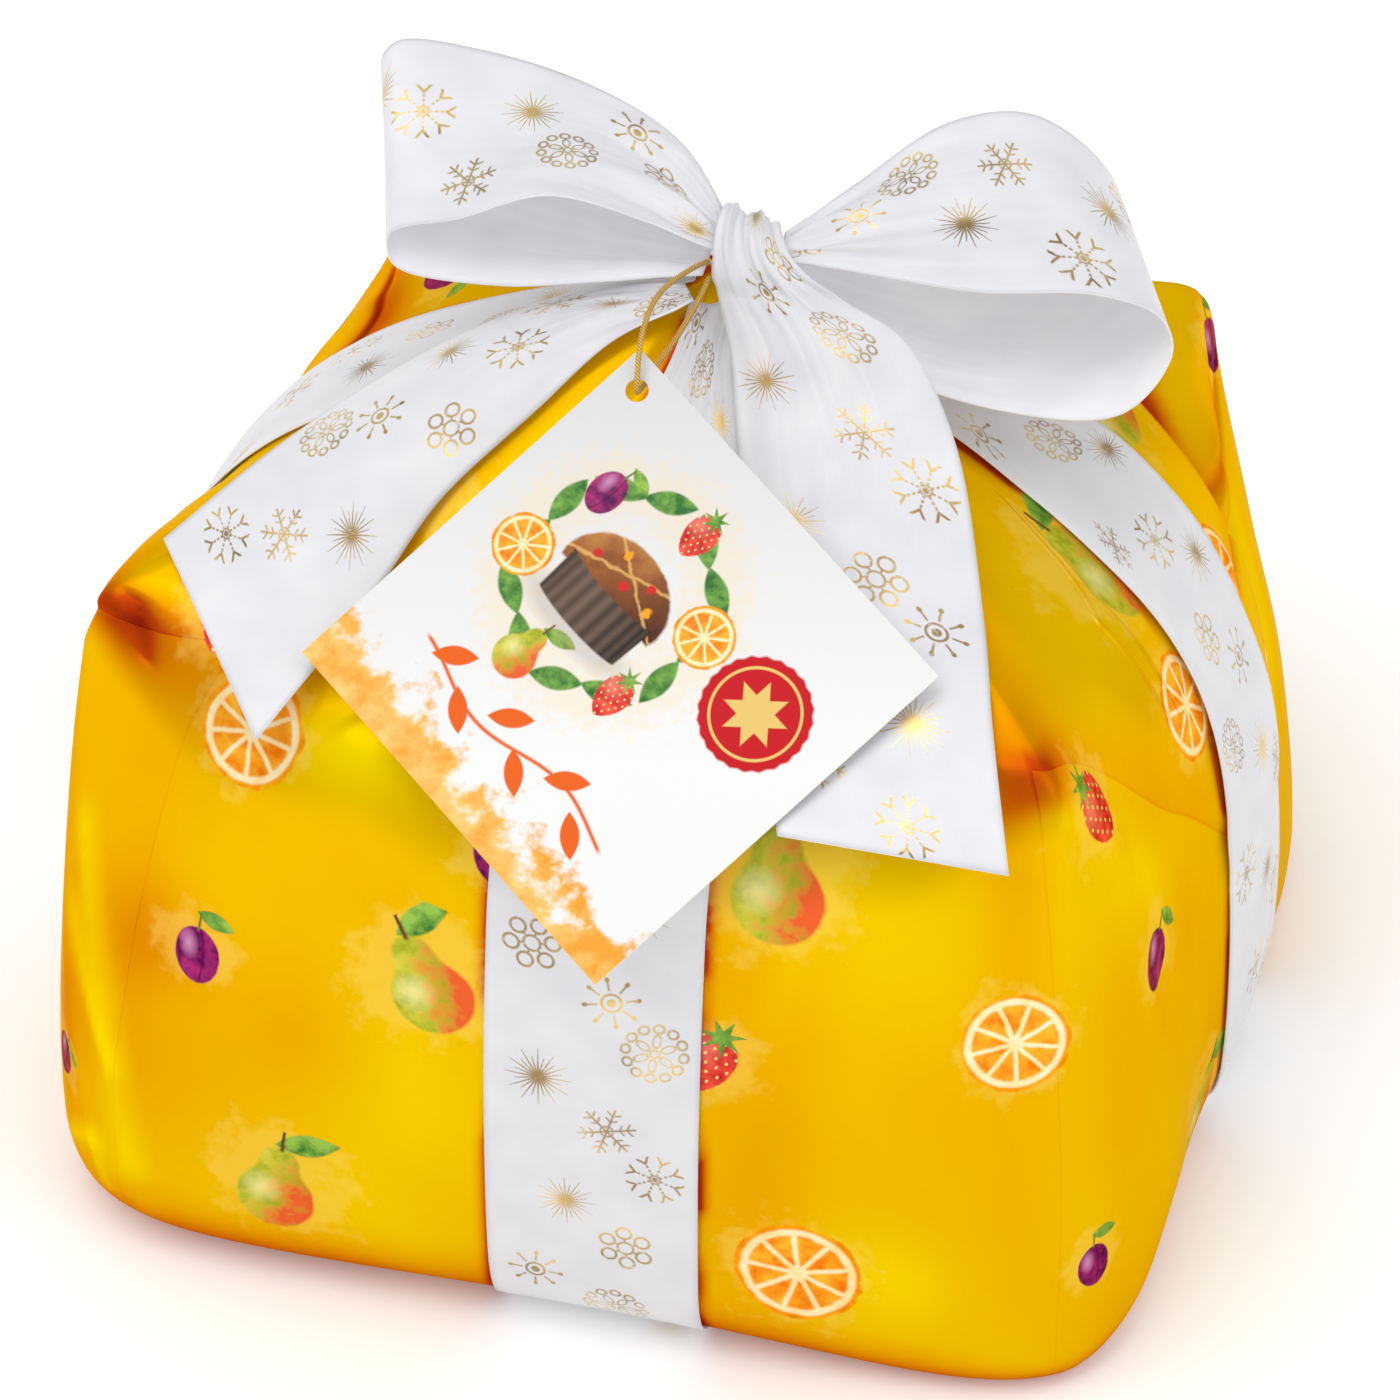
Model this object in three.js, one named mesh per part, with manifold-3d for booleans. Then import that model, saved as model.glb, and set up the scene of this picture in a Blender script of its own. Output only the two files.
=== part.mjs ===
// Gift-wrapped panettone: a shut foil wrap with a ribbon tied crosswise, a bow and a hang tag.
// Millimetres, +Z up. The front, with the tag, faces -Y, and the pack stands on Z = 0.
import * as THREE from "three";
import { mergeVertices } from "three/addons/utils/BufferGeometryUtils.js";
import Module from "manifold-3d";

// Driving dimensions of the wrap
const HALF_WIDTH = 128; // half of the footprint from left to right
const HALF_DEPTH = 129; // half of the footprint from front to back
const LOW_CENTRE_X = -5; // the foot sits this far to the left of the knot
const ROOF_Z = 200; // height of the roof under the knot
const FLAP_STEP = 1.5; // how far the folded end flap stands off the side
const PLEAT_DEPTH = 7; // depth of the pleat behind the right ribbon

// Driving dimensions of the ribbon
const RIBBON_HALF = 23.5; // half of the ribbon's width
const RIBBON_KNOT_HALF = 6; // half of the width where it is gathered under the knot
const RIBBON_THICK = 0.5;
const RIBBON_LIFT = 0.75; // clear space between the wrap and the ribbon
const FRONT_BAND_X = 3; // centre line of the ribbon that runs from front to back
const SIDE_BAND_Y = 0; // centre line of the ribbon that runs from left to right
const BAND_END = 0.91; // share of the roof, from shoulder to peak, that a ribbon covers
const BOW_THICK = 0.5;

// Driving dimensions of the tag and its cord
const TAG_SIDE = 95;
const TAG_THICK = 0.6;
const TAG_HOLE = 5;
const TAG_HOLE_INSET = 9; // from the top corner to the middle of the hole
const TAG_CENTRE = [1, -97, 168];
const TAG_TILT = 40.5; // degrees from lying flat to leaning on the front edge
const TAG_ROLL = 52; // degrees turned in its own plane, so that a corner points up
const CORD_DIAMETER = 1.2;

// Everything is moved by this much, so that the middle of the footprint is the origin
const SHIFT_X = 3.355;
const SHIFT_Y = 0.048;

// Rows: degrees around, corner bulge, foot rounding, belly, shoulder radius, shoulder height,
// shoulder rounding, and 1 where the wrap stands up as a folded ear
const STATIONS = [
  [0, 0, 26, 3, 109, 136, 46, 0],
  [24, 2, 12, -6, 111, 134, 34, 0],
  [43, 1, 14, -10, 127, 151, 14, 1],
  [90, 0, 30, 3, 112, 122, 40, 0],
  [138, 0, 24, 0, 128, 144, 16, 1],
  [160, 0, 27, 3, 110, 134, 40, 0],
  [180, 0, 30, 3, 113, 138, 44, 0],
  [218, 0, 19, 0, 146, 158, 12, 1],
  [243, 0, 24, 2, 128, 150, 24, 0],
  [270, 0, 26, 3, 119, 146, 34, 0],
  [314, -3, 9, 0, 141, 158, 12, 1],
  [336, -5, 17, 1, 119, 143, 35, 0],
  [360, 0, 26, 3, 109, 136, 46, 0],
];

// Small functions
const RAD = Math.PI / 180;
const mix = (a, b, w) => a + (b - a) * w;
const clamp = (v, lo, hi) => Math.min(hi, Math.max(lo, v));
const smooth = (lo, hi, v) => {
  const u = clamp((v - lo) / (hi - lo), 0, 1);
  return u * u * (3 - 2 * u);
};
const bell = (v, width) => Math.exp(-(v * v) / (width * width));
const bend = (a, b, c, w) => (1 - w) * (1 - w) * a + 2 * w * (1 - w) * b + w * w * c;
const turn = (deg) => ((deg + 540) % 360) - 180;
const vec = (p) => new THREE.Vector3(...p);

// The wrap's section in one direction: foot bend (t 0 to 1), wall (1 to 2), shoulder bend (2 to 3)
// and roof (3 to 4, where it meets the knot)
function station(deg) {
  const d = ((deg % 360) + 360) % 360;
  const i = STATIONS.findIndex((row, n) => n > 0 && d <= row[0]) - 1;
  const a = STATIONS[i];
  const b = STATIONS[i + 1];
  const u = (d - a[0]) / (b[0] - a[0]);
  let w = u;
  if (!a[7] && b[7]) w = 1 - Math.cos((Math.PI / 2) * u);
  if (a[7] && !b[7]) w = Math.sin((Math.PI / 2) * u);
  if (!a[7] && !b[7]) w = (1 - Math.cos(Math.PI * u)) / 2;
  return a.slice(1, 7).map((v, n) => mix(v, b[n + 1], w));
}

function footRadius(deg) {
  const c = Math.abs(Math.cos(deg * RAD));
  const s = Math.abs(Math.sin(deg * RAD));
  const n = 5.2 - 1.9 * Math.sin(deg * RAD);
  return ((c / HALF_WIDTH) ** n + (s / HALF_DEPTH) ** n) ** (-1 / n);
}

function section(deg, t) {
  const [bulge, foot, belly, radius, height, round] = station(deg);
  const base = footRadius(deg) + bulge;
  const belt = [base + belly, 0.5 * height];
  const downLength = Math.hypot(belt[0] - radius, belt[1] - height);
  const down = [(belt[0] - radius) / downLength, (belt[1] - height) / downLength];
  const inLength = Math.hypot(radius, ROOF_Z - height);
  const inward = [-radius / inLength, (ROOF_Z - height) / inLength];
  const low = [radius + down[0] * round, height + down[1] * round];
  const high = [radius + inward[0] * round, height + inward[1] * round];
  const wallFoot = [base + belly * 0.4, foot];
  return [0, 1].map((n) => {
    if (t <= 1) return bend([base - foot * 0.9, 0][n], [base, 0][n], wallFoot[n], t);
    if (t <= 2) return bend(wallFoot[n], belt[n], low[n], t - 1);
    if (t <= 3) return bend(low[n], [radius, height][n], high[n], t - 2);
    return mix(high[n], [0, ROOF_Z][n], t - 3);
  });
}

function plainWrap(deg, t) {
  const [r, z] = section(deg, t);
  const x = LOW_CENTRE_X * (1 - t / 4) + r * Math.cos(deg * RAD);
  return new THREE.Vector3(x, r * Math.sin(deg * RAD), z);
}

function wrapNormal(deg, t) {
  const around = plainWrap(deg + 0.4, t).sub(plainWrap(deg - 0.4, t));
  const upward = plainWrap(deg, Math.min(4, t + 0.02)).sub(plainWrap(deg, Math.max(0, t - 0.02)));
  return around.cross(upward).normalize();
}

// Height of the slanting edge of the folded end flap on the right or left side
function flapEdge(fromMiddle) {
  return 1.6 + 0.96 * (Math.abs(fromMiddle) / 44) ** 1.45;
}

// Folds and dents, in millimetres along the wrap's outward direction
function folds(deg, t) {
  let out = 0;
  for (const middle of [2, 180]) {
    const off = turn(deg - middle);
    const fade = smooth(44, 34, Math.abs(off)) * smooth(3.1, 2.6, t);
    out += FLAP_STEP * fade * smooth(-0.02, 0.08, t - flapEdge(off));
  }
  const pleatAt = mix(19, 34, clamp((t - 1.5) / 1.3, 0, 1));
  const pleatWindow = smooth(1.35, 1.9, t) * smooth(3.1, 2.7, t);
  out -= PLEAT_DEPTH * bell(turn(deg - pleatAt), 2.6) * pleatWindow;
  const valleyWindow = smooth(1.3, 1.9, t) * smooth(2.8, 2.4, t);
  out -= 2.2 * bell(turn(deg - 308.5), 3.2) * valleyWindow;
  const creaseAt = mix(232, 221, clamp((t - 0.8) / 0.8, 0, 1));
  out += 1.3 * bell(turn(deg - creaseAt), 1.6) * smooth(0.5, 0.9, t) * smooth(1.9, 1.5, t);
  const wall = smooth(0.6, 1.2, t) * smooth(3.4, 2.6, t);
  out += 0.7 * wall * Math.sin(deg * RAD * 9 + 1.3) * Math.sin(t * 3.1 + 0.6);
  const roof = smooth(3, 3.4, t) * smooth(3.95, 3.6, t);
  out += 0.9 * roof * Math.sin(deg * RAD * 16 + 0.8);
  return out;
}

// A closed body from rows of points and triangles
function body(points, triangles) {
  const geometry = new THREE.BufferGeometry();
  const flat = new Float32Array(points.length * 3);
  points.forEach((p, i) => p.toArray(flat, i * 3));
  geometry.setAttribute("position", new THREE.BufferAttribute(flat, 3));
  geometry.setIndex(triangles.flat());
  return geometry;
}

function wrapBody() {
  const angles = [];
  for (let deg = 0; deg < 360; deg += deg > 10 && deg < 44 ? 1.5 : 3.5) angles.push(deg);
  const heights = [];
  for (let i = 0; i <= 3; i += 1) heights.push(i / 3);
  for (let i = 1; i <= 9; i += 1) heights.push(1 + i / 9);
  for (let i = 1; i <= 7; i += 1) heights.push(2 + i / 7);
  for (let i = 1; i <= 5; i += 1) heights.push(3 + (i / 5) * 0.93);
  const points = [];
  for (const t of heights) {
    for (const deg of angles) {
      const p = plainWrap(deg, t);
      points.push(p.addScaledVector(wrapNormal(deg, t), folds(deg, t)));
    }
  }
  const around = angles.length;
  const triangles = [];
  for (let j = 0; j < heights.length - 1; j += 1) {
    for (let i = 0; i < around; i += 1) {
      const a = j * around + i;
      const b = j * around + ((i + 1) % around);
      triangles.push([a, b, b + around], [a, b + around, a + around]);
    }
  }
  const bottom = points.push(new THREE.Vector3(LOW_CENTRE_X, 0, 0)) - 1;
  const top = points.push(new THREE.Vector3(0, 0, ROOF_Z)) - 1;
  const last = (heights.length - 1) * around;
  for (let i = 0; i < around; i += 1) {
    const next = (i + 1) % around;
    triangles.push([bottom, next, i], [top, last + i, last + next]);
  }
  return body(points, triangles);
}

// A thin closed sheet from a grid of points on its middle surface
function sheetBody(rows, thick) {
  const wide = rows[0].length;
  const long = rows.length;
  const at = (i, j) => rows[clamp(i, 0, long - 1)][clamp(j, 0, wide - 1)];
  const points = [];
  for (const side of [1, -1]) {
    for (let i = 0; i < long; i += 1) {
      for (let j = 0; j < wide; j += 1) {
        const along = at(i + 1, j).clone().sub(at(i - 1, j));
        const across = at(i, j + 1).clone().sub(at(i, j - 1));
        const normal = along.cross(across).normalize();
        points.push(at(i, j).clone().addScaledVector(normal, (side * thick) / 2));
      }
    }
  }
  const low = wide * long;
  const triangles = [];
  const quad = (a, b, c, d) => triangles.push([a, b, c], [a, c, d]);
  for (let i = 0; i < long - 1; i += 1) {
    for (let j = 0; j < wide - 1; j += 1) {
      const a = i * wide + j;
      quad(a, a + wide, a + wide + 1, a + 1);
      quad(low + a, low + a + 1, low + a + wide + 1, low + a + wide);
    }
    const a = i * wide;
    const b = a + wide - 1;
    quad(a, low + a, low + a + wide, a + wide);
    quad(b, b + wide, low + b + wide, low + b);
  }
  const end = (long - 1) * wide;
  for (let j = 0; j < wide - 1; j += 1) {
    quad(j, j + 1, low + j + 1, low + j);
    quad(end + j, low + end + j, low + end + j + 1, end + j + 1);
  }
  return body(points, triangles);
}

// The ribbon's half width, gathered toward the knot: sooner at the sides than in front
function bandHalf(facing, t) {
  const start = facing === 0 || facing === 180 ? 2.8 : 3.2;
  return mix(RIBBON_HALF, RIBBON_KNOT_HALF, smooth(start, 3.85, t));
}

// How far the ribbon strays from its straight line on the right and on the left
function sway(facing, t) {
  const wall = smooth(2.6, 1.9, t) * smooth(0.3, 1, t);
  if (facing === 0) return 9 * bell(t - 3.15, 0.35) - 7 * wall;
  if (facing === 180) return 8 * bell(t - 3.1, 0.55) - 3 * wall;
  return 0;
}

// A point of a band: on the side that faces `facing` degrees, `off` from the knot's plane
function bandPoint(facing, off, t) {
  const frontBack = facing === 90 || facing === 270;
  let deg = facing;
  for (let n = 0; n < 12; n += 1) {
    const [r] = section(deg, t);
    const shift = LOW_CENTRE_X * (1 - t / 4);
    const want = frontBack ? (off - shift) / r : off / r;
    const swing = Math.asin(clamp(want, -0.95, 0.95)) / RAD;
    deg = facing + (facing === 0 || facing === 270 ? swing : -swing);
  }
  const flap = frontBack ? 0 : FLAP_STEP * smooth(1.25, 1.5, t) * smooth(3.2, 2.8, t);
  const lift = RIBBON_LIFT + RIBBON_THICK / 2 + flap;
  const p = plainWrap(deg, t);
  const rise = 0.9 * smooth(3, 3.4, t);
  const wave = 0.7 * smooth(0.6, 1.2, t) * smooth(3.4, 2.6, t);
  return p.addScaledVector(wrapNormal(deg, t), lift + rise + wave);
}

// One ribbon from the knot down one side, under the pack and up the other side to the knot.
// `under` gives the height of its middle surface under the pack, where it has `below` stretches.
function bandRows(first, second, centre, under, below) {
  const steps = [];
  for (let i = 0; i <= 5; i += 1) steps.push(3 + BAND_END * (1 - i / 5));
  for (let i = 1; i <= 9; i += 1) steps.push(3 - i / 9);
  for (let i = 1; i <= 9; i += 1) steps.push(2 - i / 9);
  for (let i = 1; i <= 7; i += 1) steps.push(1 - i / 7);
  const row = (facing, t) =>
    [-1, -0.5, 0, 0.5, 1].map((v) => {
      const middle = mix(centre, 0, smooth(3.2, 3.8, t)) + sway(facing, t);
      const p = bandPoint(facing, middle + v * bandHalf(facing, t), t);
      const floor = under(Math.abs(p.x - FRONT_BAND_X));
      if (t < 1) p.z = Math.max(p.z, floor);
      return p;
    });
  const down = steps.map((t) => row(first, t));
  const up = steps.map((t) => row(second, t)).reverse();
  const a = down[down.length - 1];
  const b = up[0];
  const flat = [];
  for (let i = 1; i < below; i += 1) {
    flat.push(
      a.map((p, j) => {
        const q = p.clone().lerp(b[j], i / below);
        q.z = under(Math.abs(q.x - FRONT_BAND_X));
        return q;
      }),
    );
  }
  return [...down, ...flat, ...up];
}

const lengthwiseRows = () => bandRows(270, 90, FRONT_BAND_X, () => RIBBON_THICK / 2, 8);
const hop = (x) => RIBBON_THICK / 2 + 0.8 * smooth(46, 30, x);
const crosswiseRows = () => bandRows(0, 180, SIDE_BAND_Y, hop, 24);

// Bow and tails: each is ruled between its front edge and its back edge. Points are x, y, z.
const LEFT_LOOP_FRONT = [
  [0.2, -9, 211.4], [-15.6, -11.4, 218.6], [-35.4, -15.1, 224], [-55, -16.6, 215.5],
  [-70.7, -16.1, 208.3], [-69.5, -16.9, 200.8], [-48, -14.3, 197.5], [-25.9, -11.7, 200.3],
  [-3.2, -9, 204.5],
];
const LEFT_LOOP_BACK = [
  [0.2, 1, 212.8], [-14.5, 16, 220], [-38, 30.3, 221.2], [-61.9, 32.6, 224.7],
  [-80.4, 24.2, 229.7], [-82.6, 20.8, 224.8], [-60.1, 25.6, 209.9], [-34.1, 20.4, 204],
  [-3.2, 3, 206],
];
const RIGHT_LOOP_FRONT = [
  [13, -8.5, 210.6], [28, -12, 213.4], [57.9, -13.4, 214.2], [81.6, -4.5, 211.4],
  [94.8, 0.5, 204], [97.8, -1.3, 196.4], [89.2, -10.2, 185.5], [62.1, -14.7, 185.1],
  [35.2, -14, 192.1], [14.4, -7, 204],
];
const RIGHT_LOOP_BACK = [
  [12.4, 1.5, 211], [24, 18.4, 214.4], [41.1, 33.2, 223.2], [57.5, 41.8, 222.2],
  [72.9, 42.3, 212], [78.5, 40.2, 201.7], [73.1, 37.2, 187.4], [49.7, 31.8, 183.5],
  [28, 18, 192], [14.2, 3.5, 205],
];
const LEFT_TAIL_BACK = [
  [-7, -9, 201.5], [-27.6, -5.8, 194.6], [-56.9, -10.3, 179.8], [-76.8, -29.7, 173.1],
  [-90.8, -51, 169.4], [-104.2, -77.4, 165.5],
];
const LEFT_TAIL_FRONT = [
  [-4, -13.5, 201], [-18.5, -23.3, 195.4], [-31.8, -40, 185.9], [-47, -61.9, 175.5],
  [-55.1, -83.5, 166.1], [-71.4, -119.5, 150.7],
];
// The right tail starts behind the knot and goes over it
const RIGHT_TAIL_FRONT = [
  [-1.2, 6.9, 201], [-0.9, 5.4, 211.4], [-0.7, 2.5, 215.4], [-0.9, -3.5, 216.4],
  [-0.6, -9, 213.5], [0.4, -13, 208.8], [2, -15.2, 203.7], [6.4, -22.8, 196.6],
  [11.1, -37.3, 187.8], [22, -68.9, 173], [31.9, -96.5, 159.4], [40.5, -119.1, 148],
];
const RIGHT_TAIL_BACK = [
  [10.2, 6.9, 200.6], [10.6, 5.3, 210], [10.8, 2.5, 213], [13.2, -3.5, 213.8],
  [16.2, -9.4, 213.4], [22.2, -14.5, 211.9], [30.5, -17, 209], [44, -21, 204.4],
  [57, -31.5, 189.5], [72.5, -69.5, 172.3], [80.3, -95.5, 165.1], [89.5, -120.3, 148.6],
];

// Gathers fade out away from the knot. A loop meets the knot at both ends. A tail lies on the knot
// up to the share `over` of its length, and its middle lies `crown` above the straight line
// between its edges.
function strip(front, back, long, wide, gather, isLoop, crown = 0, over = 0) {
  const a = new THREE.CatmullRomCurve3(front.map(vec), false, "centripetal");
  const b = new THREE.CatmullRomCurve3(back.map(vec), false, "centripetal");
  const rows = [];
  for (let i = 0; i <= long; i += 1) {
    const s = i / long;
    const p = a.getPoint(s);
    const q = b.getPoint(s);
    const ahead = a.getPoint(Math.min(1, s + 0.01)).add(b.getPoint(Math.min(1, s + 0.01)));
    const behind = a.getPoint(Math.max(0, s - 0.01)).add(b.getPoint(Math.max(0, s - 0.01)));
    const normal = ahead.sub(behind).cross(q.clone().sub(p)).normalize();
    const past = isLoop ? Math.min(s, 1 - s) : Math.max(0, (s - over) / (1 - over));
    const end = over > 0 ? s : past;
    const pleat = gather * smooth(0.32, 0.02, past) * smooth(0, 0.06, end);
    const row = [];
    for (let j = 0; j <= wide; j += 1) {
      const v = j / wide;
      const point = p.clone().lerp(q, v);
      const arch = crown * 4 * v * (1 - v) * smooth(0.1, 0.45, past) * smooth(1.05, 0.6, past);
      row.push(point.addScaledVector(normal, pleat * Math.sin(v * Math.PI * 4) + arch));
    }
    rows.push(row);
  }
  return rows;
}

// The knot: a soft rounded lump with shallow folds running over it, under the right tail
const KNOT_CENTRE = [5.6, -4.2, 205.6];
const KNOT_HALF = [7.4, 7.6, 6.2];

function knotBody() {
  const centre = KNOT_CENTRE;
  const half = KNOT_HALF;
  const around = 20;
  const rings = 10;
  const points = [];
  const soft = (v) => Math.sign(v) * Math.abs(v) ** 0.72;
  for (let j = 1; j < rings; j += 1) {
    const lift = (j / rings - 0.5) * Math.PI;
    for (let i = 0; i < around; i += 1) {
      const a = (i / around) * 2 * Math.PI;
      const fold = 1 + 0.03 * Math.sin(5 * a + 2 * lift);
      points.push(
        new THREE.Vector3(
          centre[0] + half[0] * fold * soft(Math.cos(lift)) * soft(Math.cos(a)),
          centre[1] + half[1] * fold * soft(Math.cos(lift)) * soft(Math.sin(a)),
          centre[2] + half[2] * soft(Math.sin(lift)),
        ),
      );
    }
  }
  const triangles = [];
  for (let j = 0; j < rings - 2; j += 1) {
    for (let i = 0; i < around; i += 1) {
      const a = j * around + i;
      const b = j * around + ((i + 1) % around);
      triangles.push([a, b, b + around], [a, b + around, a + around]);
    }
  }
  const bottom = points.push(new THREE.Vector3(centre[0], centre[1], centre[2] - half[2])) - 1;
  const top = points.push(new THREE.Vector3(centre[0], centre[1], centre[2] + half[2])) - 1;
  const last = (rings - 2) * around;
  for (let i = 0; i < around; i += 1) {
    const next = (i + 1) % around;
    triangles.push([bottom, next, i], [top, last + i, last + next]);
  }
  return body(points, triangles);
}

// The tag: a square card with a hole near its top corner
function tagMatrix() {
  const place = new THREE.Matrix4().makeTranslation(...TAG_CENTRE);
  place.multiply(new THREE.Matrix4().makeRotationX(TAG_TILT * RAD));
  place.multiply(new THREE.Matrix4().makeRotationZ(TAG_ROLL * RAD));
  return place;
}

function tagBody() {
  const half = TAG_SIDE / 2;
  const card = new THREE.Shape();
  card.moveTo(-half, -half);
  card.lineTo(half, -half);
  card.lineTo(half, half);
  card.lineTo(-half, half);
  card.closePath();
  const inset = half - TAG_HOLE_INSET / Math.SQRT2;
  const hole = new THREE.Path();
  hole.absarc(inset, inset, TAG_HOLE / 2, 0, 2 * Math.PI, true);
  card.holes.push(hole);
  const geometry = new THREE.ExtrudeGeometry(card, {
    depth: TAG_THICK,
    bevelEnabled: false,
    curveSegments: 12,
  });
  geometry.translate(0, 0, -TAG_THICK / 2);
  return geometry;
}

// The cord: both ends come out of the knot and the loop goes through the tag's hole
const CORD_ROUTE = [
  [-2.1, -9, 208.4], [-3.7, -16.5, 211.4], [-6.9, -31, 214.8], [-7.3, -42, 214.6],
  [-6.6, -49.6, 212.2], [-6.1, -53, 208.6], [-6.1, -53.2, 205.3], [-5.8, -50, 204.2],
  [-4.8, -43, 204.3], [-2.8, -30, 204.6], [-1.5, -18, 205.2], [-1, -11.6, 206],
];

function cordBody() {
  const route = new THREE.CatmullRomCurve3(CORD_ROUTE.map(vec), false, "centripetal");
  const round = new THREE.Shape();
  for (let i = 0; i < 8; i += 1) {
    const a = (i / 8) * 2 * Math.PI;
    const x = (CORD_DIAMETER / 2) * Math.cos(a);
    const y = (CORD_DIAMETER / 2) * Math.sin(a);
    if (i === 0) round.moveTo(x, y);
    else round.lineTo(x, y);
  }
  round.closePath();
  return new THREE.ExtrudeGeometry(round, {
    steps: Math.ceil(route.getLength() / 3),
    extrudePath: route,
    bevelEnabled: false,
  });
}

// Joining and cutting of closed bodies
const wasm = await Module();
wasm.setup();

function solid(geometry) {
  const plain = geometry.clone();
  plain.deleteAttribute("normal");
  plain.deleteAttribute("uv");
  const merged = mergeVertices(plain, 1e-4);
  const vertProperties = new Float32Array(merged.attributes.position.array);
  const triVerts = new Uint32Array(merged.index.array);
  return new wasm.Manifold(new wasm.Mesh({ numProp: 3, vertProperties, triVerts }));
}

function geometryOf(manifold) {
  const mesh = manifold.getMesh();
  const geometry = new THREE.BufferGeometry();
  const flat = new Float32Array(mesh.vertProperties);
  geometry.setAttribute("position", new THREE.BufferAttribute(flat, 3));
  geometry.setIndex(new THREE.BufferAttribute(new Uint32Array(mesh.triVerts), 1));
  return geometry;
}

// Shallow channels in the base, so that the pack stands on its wrap with the ribbon flush
function wrapWithChannels() {
  const wide = 2 * (RIBBON_HALF + 0.7);
  const channel = (x, y, z, centreX, centreY) => {
    const box = new THREE.BoxGeometry(x, y, 2 * z);
    box.translate(centreX, centreY, 0);
    return solid(box);
  };
  return geometryOf(
    solid(wrapBody())
      .subtract(channel(wide, 300, 0.9, FRONT_BAND_X, 0))
      .subtract(channel(300, wide, 0.9, 0, SIDE_BAND_Y))
      .subtract(channel(2 * 48, wide, 1.7, FRONT_BAND_X, SIDE_BAND_Y)),
  );
}

const group = new THREE.Group();
const foil = { color: 0xf2c800, roughness: 0.3, metalness: 0.1 };
const satin = { color: 0xf0f0f4, roughness: 0.45, metalness: 0 };
const card = { color: 0xf4f3f0, roughness: 0.6, metalness: 0 };
const gold = { color: 0xc8942e, roughness: 0.4, metalness: 0.5 };

function add(name, geometry, look, place = new THREE.Matrix4()) {
  const mesh = new THREE.Mesh(geometry, new THREE.MeshStandardMaterial(look));
  mesh.name = name;
  mesh.applyMatrix4(place);
  group.add(mesh);
}

const leftLoop = strip(LEFT_LOOP_FRONT, LEFT_LOOP_BACK, 29, 8, 1.6, true);
const rightLoop = strip(RIGHT_LOOP_FRONT, RIGHT_LOOP_BACK, 33, 8, 1.6, true);
const leftTail = strip(LEFT_TAIL_FRONT, LEFT_TAIL_BACK, 16, 8, 1.2, false, -6.5);
const rightTail = strip(RIGHT_TAIL_FRONT, RIGHT_TAIL_BACK, 28, 8, 0.8, false, 2.9, 0.4);

add("wrapper", wrapWithChannels(), foil);
add("ribbon_lengthwise", sheetBody(lengthwiseRows(), RIBBON_THICK), satin);
add("ribbon_crosswise", sheetBody(crosswiseRows(), RIBBON_THICK), satin);
add("bow_knot", knotBody(), satin);
add("bow_loop_left", sheetBody(leftLoop, BOW_THICK), satin);
add("bow_loop_right", sheetBody(rightLoop, BOW_THICK), satin);
add("tail_left", sheetBody(leftTail, BOW_THICK), satin);
add("tail_right", sheetBody(rightTail, BOW_THICK), satin);
add("tag", tagBody(), card, tagMatrix());
add("tag_cord", cordBody(), gold);
group.position.set(SHIFT_X, SHIFT_Y, 0);

export default group;
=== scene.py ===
"""Looks of a gift-wrapped panettone: printed film, satin ribbon tied crosswise, bow and hang tag.

Lengths are millimetres until a mesh is made. +Z is up, and the side with the tag faces -Y.
Directions round the pack are degrees, counted from +X toward +Y, and t counts up the film from the
ground, 0, to the knot, 4. Shapes come first, then shader groups and materials, then the making.
"""
from functools import partialmethod, reduce

import bpy
import numpy as np
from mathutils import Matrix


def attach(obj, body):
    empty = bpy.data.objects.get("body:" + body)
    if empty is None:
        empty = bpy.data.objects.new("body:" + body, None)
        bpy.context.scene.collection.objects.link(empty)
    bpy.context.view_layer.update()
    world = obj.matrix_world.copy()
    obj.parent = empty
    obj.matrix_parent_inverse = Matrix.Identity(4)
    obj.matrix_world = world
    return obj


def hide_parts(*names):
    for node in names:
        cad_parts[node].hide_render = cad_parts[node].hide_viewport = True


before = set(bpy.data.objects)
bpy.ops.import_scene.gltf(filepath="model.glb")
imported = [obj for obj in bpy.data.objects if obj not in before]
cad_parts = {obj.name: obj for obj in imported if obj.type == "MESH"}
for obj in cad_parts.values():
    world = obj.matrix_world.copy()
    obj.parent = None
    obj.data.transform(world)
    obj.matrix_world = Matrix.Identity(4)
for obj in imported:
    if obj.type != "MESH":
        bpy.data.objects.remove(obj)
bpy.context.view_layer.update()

MM = 0.001
# Brings the middle of the footprint to the origin
SHIFT = np.array([3.355, 0.048, 0])

# Camera
CAMERA_AZIMUTH = 14.2
CAMERA_ELEVATION = 40
CAMERA_DISTANCE = 1500
CAMERA_TARGET = (-6, 0, 78)
CAMERA_LENS = 169.7

# Wrap
HALF_WIDTH = 128
HALF_DEPTH = 129
LOW_CENTRE_X = -5
ROOF_Z = 200
FLAP_STEP = 1.5
PLEAT_DEPTH = 7
FLAP_MIDDLES = (2, 180)
WRAP_COLUMNS = 450

# Ribbon
RIBBON_HALF = 23.5
WEFT = 0.42
WARP = 0.3
RIBBON_KNOT_HALF = 6
RIBBON_THICK = 0.45
RIBBON_LIFT = 0.75
FRONT_BAND_X = 3
SIDE_BAND_Y = 0
BAND_END = 0.91
KNOT_CENTRE = (5.6, -4.2, 205.6)
KNOT_HALF = (7.4, 7.6, 6.2)
KNOT_SQUARE = 0.72
PULL_REACH = 95
PULL_FULL = 12
BAND_COLUMNS = 25
STRIP_COLUMNS = 33
GROUND_GAP = 0.25
CROSSING_RISE = 0.8
CHANNEL = 0.9
CROSSING_CHANNEL = 1.7
ORNAMENT_STEP = 11.3

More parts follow.
